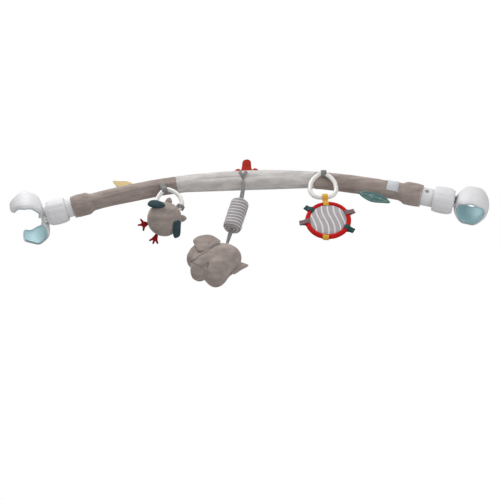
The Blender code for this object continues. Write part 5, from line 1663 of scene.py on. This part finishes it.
@dataclass
class Elephant:
    """The elephant on its strap, with the striped roll between."""

    arch: Arch
    front: float = 15 * MM
    strap_from_crown: float = -2.5 * MM
    strap_angle: float = -42
    roll_middle: Point = (-11.6, -83.8)
    roll_lean: float = 13.5
    roll_length: float = 51.5 * MM
    roll_radius: float = 13.9 * MM
    roll_bore: float = 2.5 * MM
    roll_sides: int = 72
    body_size: Point = (62 * MM, 42 * MM, 49 * MM)
    head_size: Point = (44 * MM, 34 * MM, 40 * MM)
    inset: float = 1.2 * MM
    hip: float = -147
    legs: tuple[Point, ...] = ((-61.5, -197.5, 14.4, 37, 8), (-32.6, -209.5, 18.6, 40, 24))
    sight: Vector = field(default_factory=lambda: Vector((-0.067, 0.763, 0.643)))

    def at(self, x: float, z: float) -> Vector:
        """Return a place in the toy's plane, in millimetres from the crown."""
        return self.arch.origin + Vector((x * MM, -self.front, z * MM))

    def strap(self) -> None:
        """Build the upper strap, which hangs from a V of two arms and twists, and the lower one."""
        crown = self.strap_from_crown
        top = self.arch.skin_point(crown, self.strap_angle, 15.0 * MM)
        roll, lean = self.at(*self.roll_middle), turn("Y", self.roll_lean).to_3x3()
        end = roll + lean @ Vector((0, 0, self.roll_length / 2 + 1 * MM))
        shares = spread(0, 1, 24)
        path = [top.lerp(end, t) + Vector((1.6 * MM, -1.2 * MM, 0)) * math.sin(math.pi * t) for t in shares]
        across = [turn("Z", 34 * math.sin(math.pi * t) - 10).to_3x3() @ ALONG_X for t in shares]
        widths = [0.95 - 0.42 * dip(t - 0.02, 0.16) for t in shares]
        shape = tape(path, 7.0 * MM, 1.7 * MM, across, widths)
        shares = spread(0, 1, 14)
        for sign in (-1, 1):
            arm = []
            for t in shares:
                out = 15.0 * MM + sign * 0.55 * MM * (1 - t)
                apart = sign * 5.0 * MM * t ** 1.4
                arm.append(self.arch.skin_point(crown + apart, self.strap_angle + 54 * t, out))
            tilt = [turn("Y", sign * 30 * t).to_3x3() @ ALONG_X for t in shares]
            joined(tape(arm, 5.6 * MM, 1.3 * MM, tilt, [0.55 + 0.35 * t for t in shares]), shape)
        dressed("strap_upper", "woven", shape, GREY_RIBBON, "strap")
        start, end = roll - lean @ Vector((0, 0, self.roll_length / 2 + 1.8 * MM)), self.at(-25, -141)
        widths = [1.22 - 0.65 * t - 0.4 * dip(t, 0.1) for t in shares]
        across = [turn("Z", 30 * t).to_3x3() @ ALONG_X for t in shares]
        shape = tape([start.lerp(end, t) for t in shares], 6.0 * MM, 1.8 * MM, across, widths)
        dressed("strap_lower", "woven", shape, GREY_RIBBON, "elephant")

    def roll_profile(self) -> list[tuple[float, float]]:
        """Return the roll's (along Z, radius) points: closed in at both ends, with rounded edges."""
        half, wide, edge = self.roll_length / 2, self.roll_radius, 4 * MM
        end = [(-half, self.roll_bore), (-half, wide * 0.35), (-half, wide * 0.55)]
        for a in spread(0, math.pi / 2, 6):
            end.append((-half + edge * (1 - math.cos(a)), wide - edge * (1 - math.sin(a))))
        side = [(z, wide) for z in spread(-half + 5.5 * MM, half - 5.5 * MM, 40)]
        return end + side + [(-z, radius) for z, radius in reversed(end[:-1])]

    def roll(self) -> None:
        """Build the striped roll, gathered at both ends."""
        place = Matrix.Translation(self.at(*self.roll_middle)) @ turn("Y", self.roll_lean)
        half, wide, gathered = self.roll_length / 2, self.roll_radius, 5 * MM
        rings, chart = [], []
        for z, radius in self.roll_profile():
            ring = []
            for a in angles(self.roll_sides):
                spot = Vector((radius * math.cos(a), radius * math.sin(a), z))
                fold = 0.45 * MM * rumple(spot, 9 * MM, 2) + 0.38 * MM * rumple(spot * 2.2, 8 * MM, 6)
                end = max(0.0, (abs(z) - half + gathered) / gathered)
                out = radius + fold + 0.35 * MM * end * math.cos(14 * a)
                high = z + 0.5 * MM * rumple(spot, 14 * MM, 9)
                ring.append(place @ Vector((out * math.cos(a), out * math.sin(a), high)))
            rings.append(ring)
            past = math.copysign(max(0.0, wide - radius), z)
            chart.append([(z + past + 0.9 * MM * math.sin(3 * a), 0.0) for a in angles(self.roll_sides)])
        for z in (half - 2 * MM, -half + 2 * MM):
            bore = [Vector((math.cos(a), math.sin(a), 0)) * self.roll_bore for a in angles(self.roll_sides)]
            rings.append([place @ (spot + Vector((0, 0, z))) for spot in bore])
            chart.append([(z, 0.0)] * self.roll_sides)
        made = dressed("roll_cover", "jersey", skin(rings, True, chart), STRIPED_ROLL, "roll", 60)
        dress_nodes(("roll_core",), FILLING)

    def stuffed(self) -> bmesh.types.BMesh:
        """Return the body, head, trunk and legs, blended and stuffed as one skin."""
        def belly(p: Vector) -> Vector:
            """Swell the rear and its lower side."""
            p.z *= 1 + (0.14 if p.z < 0 else -0.05) * p.x
            p.y *= 1 + 0.08 * p.x
            return p

        def leg(p: Vector) -> Vector:
            """Flatten a leg's sole."""
            if p.z < 0:
                p.x *= 1 + 0.32 * p.z * p.z
                p.y *= 1 + 0.2 * p.z * p.z
            if p.z < -0.86:
                p.z = -0.86 + (p.z + 0.86) * 0.5
            return p

        body, head = ([s - self.inset for s in size] for size in (self.body_size, self.head_size))
        shape = blob(body, Matrix.Translation(self.at(-31, -161)), belly)
        trunk, paunch, haunch = (Vector(size) * MM for size in ((22, 24, 34), (46, 40, 48), (42, 38, 42)))
        lumps = (
            (head, -60, -154.5, 0), (trunk, -72, -163.5, -20), (paunch, -46, -166, 0), (haunch, -28, -172, 0),
        )
        for size, x, z, lean in lumps:
            blob(size, Matrix.Translation(self.at(x, z)) @ turn("Y", lean), into=shape)
        for x, sole, radius, depth, lean in self.legs:
            size = (2 * radius * MM, depth * MM, (self.hip - sole) * MM * 1.04)
            middle = Matrix.Translation(self.at(x, (sole + self.hip) / 2))
            blob(size, middle @ turn("Y", lean), leg, into=shape)
        return Stuffing(voxel=1.7 * MM, blend_steps=14).fill(shape)

    def figure(self) -> None:
        """Build the body, head, trunk and legs as one sewn skin, and its stitches."""
        plush = self.stuffed()
        ruffle(plush, 0.6 * MM, 14 * MM, 2.0)
        seams = self.seams(plush)
        dent(plush, seams, 0.9 * MM, 1.1 * MM, 0.15 * MM)
        dent(plush, [seams[k] for k in (1, 3, 4, 6)], 1.2 * MM, 1.3 * MM)
        lines = [on_skin(line, plush, 0.05 * MM) for line in seams[1:]]
        nodes = ("elephant_body", "elephant_head", "elephant_legs_front", "elephant_legs_hind")
        made = finish_piece("elephant_plush", to_mesh(plush, 60), TAUPE_TOY, "elephant", nodes)
        spots = [spot for line in lines for spot in paced(line, 2.4 * MM)]
        Thread(1.6 * MM, 0.4 * MM).lay("elephant_stitches", spots, TAUPE_THREAD, "elephant")

    def seams(self, plush: bmesh.types.BMesh) -> list[list[Vector]]:
        """Return the sewn lines.

        Args:
            plush: the stuffed skin.

        Returns:
            The line round the middle plane, then the neck's, the knee's and the line between the legs,
            as the camera sees them, first in front and then their mirror images behind.
        """
        tree = BVHTree.FromBMesh(plush)
        middle = self.at(-42, -165)
        wide, high = 60 * MM, 45 * MM
        round_it = spread(0.0, 2 * math.pi, 160)
        spokes = [Vector((wide * math.cos(a), 0, high * math.sin(a))) for a in round_it]
        lines = [struck(tree, [(middle + spoke, -spoke.normalized()) for spoke in spokes])]
        neck = ((-74, -181), (-65.5, -172.7), (-54.4, -163.5), (-43.2, -154.2), (-29, -146.7))
        knee = ((-72.6, -180.5), (-65.2, -184.3), (-57.8, -189.7), (-50.2, -198.4))
        gap = ((-48.6, -182), (-49.2, -193.2), (-48.7, -203))
        back = Vector((0, self.front, 0)) - self.sight * 60 * MM
        for sign in (-1, 1):
            mirror = Vector((1, -sign, 1))
            for line in (neck, knee, gap):
                starts = [Vector((x, -33, z)) * MM + back for x, z in smooth_line(line, 8)]
                rays = [(self.at(0, 0) + start * mirror, self.sight * mirror) for start in starts]
                lines.append(struck(tree, rays))
        return lines

    def ear(self, name: str, sign: int) -> None:
        """Build an ear: a soft flap with a sewn fold across it and a shallow seam near its rim.

        Args:
            name: front or back.
            sign: the side of the head that it lies on.
        """
        outline = ((-71.5, -143), (-66.5, -136.3), (-57.1, -132.8), (-46.8, -133.2), (-37.8, -138.9),
                   (-31, -147.4), (-43, -155), (-54.5, -163), (-62, -163.4), (-66.8, -157), (-70, -149.5))
        fold = ((-57, -135.5), (-46, -140), (-41.5, -146), (-49.5, -155.5))
        middle = Vector((-52.5, -148))
        out = Vector((0, sign * (self.head_size[1] / 2 + 1.1 * MM), 2.6 * MM))
        place = Matrix.Translation(self.at(*middle) + out) @ turn("X", sign * 6)
        shape = pillow([(Vector(corner) - middle) * MM for corner in outline], 5.0 * MM, place)

        def sewn(points: Iterable[Point], wide: float = 1.0, high: float = 1.0) -> list[list[Vector]]:
            """Return one line on the flap through points, drawn in towards the ear's middle."""
            steps = (Vector(point) - middle for point in points)
            line = [place @ (Vector((s.x * wide, sign * 5, s.y * high)) * MM) for s in steps]
            return [on_skin(line, shape)]

        fold_line, rim_line = sewn(smooth_line(fold, 8)), sewn(smooth_loop(outline, 8), 0.88, 0.86)
        dent(shape, fold_line, 1.3 * MM, 1.2 * MM)
        dent(shape, rim_line, 0.45 * MM, 0.8 * MM)
        ruffle(shape, 0.35 * MM, 8 * MM, 4 + sign)
        made = dressed("elephant_ear_" + name, "plush", shape, TAUPE_TOY, "elephant", 60)

    def tail(self) -> None:
        """Build the flat triangular tail."""
        outline = ((-8, -167.5), (-1.5, -169.2), (8.5, -175.2), (-2, -183), (-12.5, -190), (-17, -181))
        place = Matrix.Translation(self.at(0, 0))
        shape = pillow([(x * MM, z * MM) for x, z in outline], 3.6 * MM, place)
        made = dressed("elephant_tail", "plush", shape, TAUPE_TOY, "elephant", 60)

    def build(self) -> None:
        """Build the elephant's chain."""
        self.strap()
        self.roll()
        self.figure()
        self.ear("front", -1)
        self.ear("back", 1)
        self.tail()


@dataclass
class Disc:
    """The striped disc in its red rim, with ribbon tabs, on a ring."""

    arch: Arch
    ring: Ring = field(default_factory=lambda: Ring(wire=3.4 * MM, drop=26.6 * MM))
    front: float = 19 * MM
    radius: float = 34 * MM
    rim: float = 3.6 * MM
    pad_half: float = 3.4 * MM
    pad_sides: int = 96
    tab_width: float = 9 * MM
    side_tab_share: float = 0.88
    tab_length: float = 8.5 * MM
    loop_from_crown: float = 123.5 * MM
    loop_width: float = 8.5 * MM
    ring_shift: float = 2.2 * MM

    def over_rim(self, lift: float, start: float, end: float, steps: int) -> list[Vector]:
        """Return an arc round the rim's section at the disc's top.

        Args:
            lift: how far it stands off the rim.
            start: its first angle, in radians from the disc's middle towards the front.
            end: its last angle.
            steps: number of steps.

        Returns:
            The arc's places.
        """
        spine, high = self.radius - self.rim, self.rim + lift
        arc = spread(start, end, steps)
        return [Vector((0, -high * math.sin(a), spine - high * math.cos(a))) for a in arc]

    @property
    def middle(self) -> Vector:
        """Return the disc's middle."""
        return self.arch.origin + Vector((126 * MM, -self.front, -101 * MM))

    def hang(self) -> None:
        """Build the loop, the ring and the yellow tab that hangs on it and is sewn over the rim."""
        foot = self.arch.at(self.loop_from_crown).translation
        wire_spot = Vector((foot.x, -self.front, foot.z - 0.6 * MM))
        sewn = self.arch.skin_point(self.loop_from_crown, 45, SEWN_RADIUS)
        place = Matrix.Translation(wire_spot) @ aim_down(wire_spot, sewn)
        loop = moved(folded_loop((sewn - wire_spot).length, self.loop_width), place)
        dressed("disc_loop", "woven", loop, GREY_RIBBON, "disc_hanger")
        centre = wire_spot - Vector((0, 0, self.ring.radius))
        self.ring.build("disc_ring", Matrix.Translation(centre - Vector((self.ring_shift, 0, 0))))
        hang = centre - Vector((0, 0, self.ring.drop))
        way = self.middle - hang
        place = Matrix.Translation(hang) @ Matrix.Rotation(math.atan2(-way.x, -way.z), 4, "Y")
        reach = way.length - self.radius + 0.4 * MM
        shape = moved(folded_loop(reach, 8.0 * MM, hole=4.7 * MM), place)
        flap = tape(self.over_rim(0.8 * MM, 0.55, 3.0, 18), self.loop_width, 1.0 * MM)
        joined(moved(flap, Matrix.Translation(self.middle) @ turn("Y", -4)), shape)
        dressed("disc_tab_yellow_top", "woven", shape, YELLOW_RIBBON, "disc")

    def pad(self) -> None:
        """Build the padded panel with its leaning, curved stripes."""
        edge = self.radius - self.rim * 1.6
        shares = spread(0.04, 1, 24)
        rings, chart = [], []
        for side, row in ((-1, shares), (1, shares[::-1])):
            for share in row:
                deep = self.pad_half * math.sqrt(max(0.0, 1 - share ** 4)) + 0.5 * MM
                ring, marks = [], []
                for a in angles(self.pad_sides):
                    x, z = edge * share * math.cos(a), edge * share * math.sin(a)
                    soft = 0.45 * MM * rumple(Vector((x, 0, z)), 15 * MM, 3 + side)
                    ring.append(self.middle + Vector((x, side * (deep + soft), z)))
                    curve = 2.2 * MM * math.sin(z / (8.5 * MM)) * math.cos(x / (30 * MM))
                    marks.append((x + z * 0.16 + curve, 0.0))
                rings.append(ring)
                chart.append(marks)
        made = dressed("disc_pad", "jersey", skin(rings, chart=chart), STRIPED_DISC, "disc", 60)

    def edge(self) -> None:
        """Build the red rim, slightly uneven as stuffed piping is, and its stitches."""
        spine = self.radius - self.rim
        rings = []
        for a in angles(180):
            out = Vector((math.cos(a), 0, math.sin(a)))
            wide = self.rim + 0.18 * MM * rumple(out * spine, 6 * MM, 1) + 0.10 * MM * math.cos(46 * a)
            section = [(wide * math.cos(b), wide * math.sin(b)) for b in angles(18)]
            rings.append([self.middle + out * (spine + x) + Vector((0, y, 0)) for x, y in section])
        made = dressed("disc_rim", "jersey", skin(rings, closed=True), RED_CLOTH, "disc", 60)
        inner = spine - self.rim * 0.72
        for word, side in (("front", -1), ("back", 1)):
            deep = side * self.rim * 0.74
            row = [Vector((inner * math.cos(a), deep, inner * math.sin(a))) for a in angles(90)]
            spots = paced([self.middle + place for place in row], 2.2 * MM, True)
            Thread(1.5 * MM, 0.4 * MM).lay("disc_rim_stitches_" + word, spots, RED_THREAD, "disc")

    def tabs(self) -> None:
        """Build the four folded side tabs, and the yellow flap over the rim below."""
        tip, fold = self.radius + self.tab_length, 0.95 * MM
        front = self.over_rim(0.75 * MM, 0.62, 2.35, 10)
        front += [Vector((0, -fold - 0.4 * MM, self.radius + 2.4 * MM)), Vector((0, -fold, tip - 3 * MM))]
        path = front + [
            Vector((0, -fold * math.cos(a), tip - fold + fold * math.sin(a))) for a in spread(0, math.pi, 10)
        ]
        path += [Vector((p.x, -p.y, p.z)) for p in reversed(front)]
        wanted = (("green_left", -52, GREEN_RIBBON), ("green_right", 120, GREEN_RIBBON),
                  ("mauve_left", -95, MAUVE_RIBBON), ("mauve_right", 68, MAUVE_RIBBON))
        for name, degrees, finish in wanted:
            place = Matrix.Translation(self.middle) @ turn("Y", degrees)
            shape = moved(tape(path, self.tab_width * self.side_tab_share, 0.85 * MM), place)
            dressed("disc_tab_" + name, "woven", shape, finish, "disc")
        place = Matrix.Translation(self.middle) @ turn("Y", 188)
        shape = moved(tape(self.over_rim(0.8 * MM, 1.5, 4.2, 20), self.tab_width, 1.2 * MM), place)
        dressed("disc_tab_yellow_bottom", "woven", shape, YELLOW_RIBBON, "disc")

    def build(self) -> None:
        """Build the disc toy."""
        self.hang()
        self.pad()
        self.edge()
        self.tabs()


@dataclass
class Studio:
    """The camera, the lamps and the plain white surroundings."""

    target: Vector
    distance: float = 1.3
    azimuth: float = 5.0
    elevation: float = -40.0
    roll: float = 1.26
    focal_px: float = 819.0
    centre_px: tuple[float, float] = (4.6, 71.0)
    frame_px: float = 500.0
    world_light: float = 0.52
    lamps: tuple[tuple[str, Point, float, float], ...] = (
        ("key", (-0.4, -0.6, 1.0), 11.5, 0.7), ("fill", (0.6, -1.0, -0.5), 4.5, 1.0),
    )
    floor_height: float = -1.2
    floor_size: float = 6
    backdrop_behind: float = 1.9
    backdrop_height: float = 1.6
    backdrop_tilt: float = 130
    backdrop_size: float = 9

    def camera(self) -> None:
        """Stand the camera at the photograph's viewpoint and turn it to the picture's middle."""
        a, e, t = (math.radians(v) for v in (self.azimuth, self.elevation, self.roll))
        right = Vector((math.cos(a), math.sin(a), 0))
        ahead = Vector((-math.sin(a) * math.cos(e), math.cos(a) * math.cos(e), -math.sin(e)))
        up = right.cross(ahead)
        right, up = right * math.cos(t) + up * math.sin(t), up * math.cos(t) - right * math.sin(t)
        look = (ahead * self.focal_px + right * self.centre_px[0] - up * self.centre_px[1]).normalized()
        side = look.cross(up).normalized()
        data = bpy.data.cameras.new("photo_camera")
        data.sensor_width = 36
        data.lens = self.focal_px / self.frame_px * data.sensor_width
        data.clip_start, data.clip_end = 0.01, 50
        made = bpy.data.objects.new("photo_camera", data)
        bpy.context.scene.collection.objects.link(made)
        made.matrix_world = Matrix((side, side.cross(look), -look)).transposed().to_4x4()
        made.location = self.target - ahead * self.distance
        bpy.context.scene.camera = made

    def lamp(self, name: str, place: Point, power: float, size: float) -> None:
        """Hang a soft square lamp that faces the toy."""
        data = bpy.data.lights.new(name, "AREA")
        data.energy, data.size = power, size
        made = bpy.data.objects.new(name, data)
        bpy.context.scene.collection.objects.link(made)
        made.location = self.target + Vector(place)
        made.rotation_euler = (self.target - made.location).to_track_quat("-Z", "Y").to_euler()

    def surface(self, name: str, place: Matrix, size: float) -> None:
        """Stand a plain white sheet."""
        shape = bmesh.new()
        bmesh.ops.create_grid(shape, x_segments=1, y_segments=1, size=size / 2, matrix=place)
        mesh = bpy.data.meshes.new(name)
        shape.to_mesh(mesh)
        shape.free()
        mesh.materials.append(STUDIO.build())
        made = bpy.data.objects.new(name, mesh)
        bpy.context.scene.collection.objects.link(made)

    def build(self) -> None:
        """Build the studio."""
        scene = bpy.context.scene
        scene.view_settings.view_transform = "Standard"
        scene.world = bpy.data.worlds.new("studio")
        scene.world.use_nodes = True
        light = scene.world.node_tree.nodes["Background"].inputs
        light[0].default_value, light[1].default_value = (1, 1, 1, 1), self.world_light
        self.camera()
        for name, place, power, size in self.lamps:
            self.lamp(name, place, power, size)
        self.surface("floor", shift(self.target.x, 0, self.floor_height), self.floor_size)
        back = shift(self.target.x, self.backdrop_behind, self.backdrop_height)
        self.surface("backdrop", back @ turn("X", self.backdrop_tilt), self.backdrop_size)


def main() -> None:
    """Build the toy and the studio in order."""
    logging.basicConfig(level=logging.INFO, format="%(message)s")
    arch = Arch()
    arch.build()
    Trims(arch).build()
    Clamp(arch, Side.LEFT, swivel_deg=8, closed=0.0).build()
    Clamp(arch, Side.RIGHT, swivel_deg=-8, closed=1.0).build()
    Owl(arch).build()
    Elephant(arch).build()
    Disc(arch).build()
    Studio(arch.origin.copy()).build()


if __name__ == "__main__":
    main()
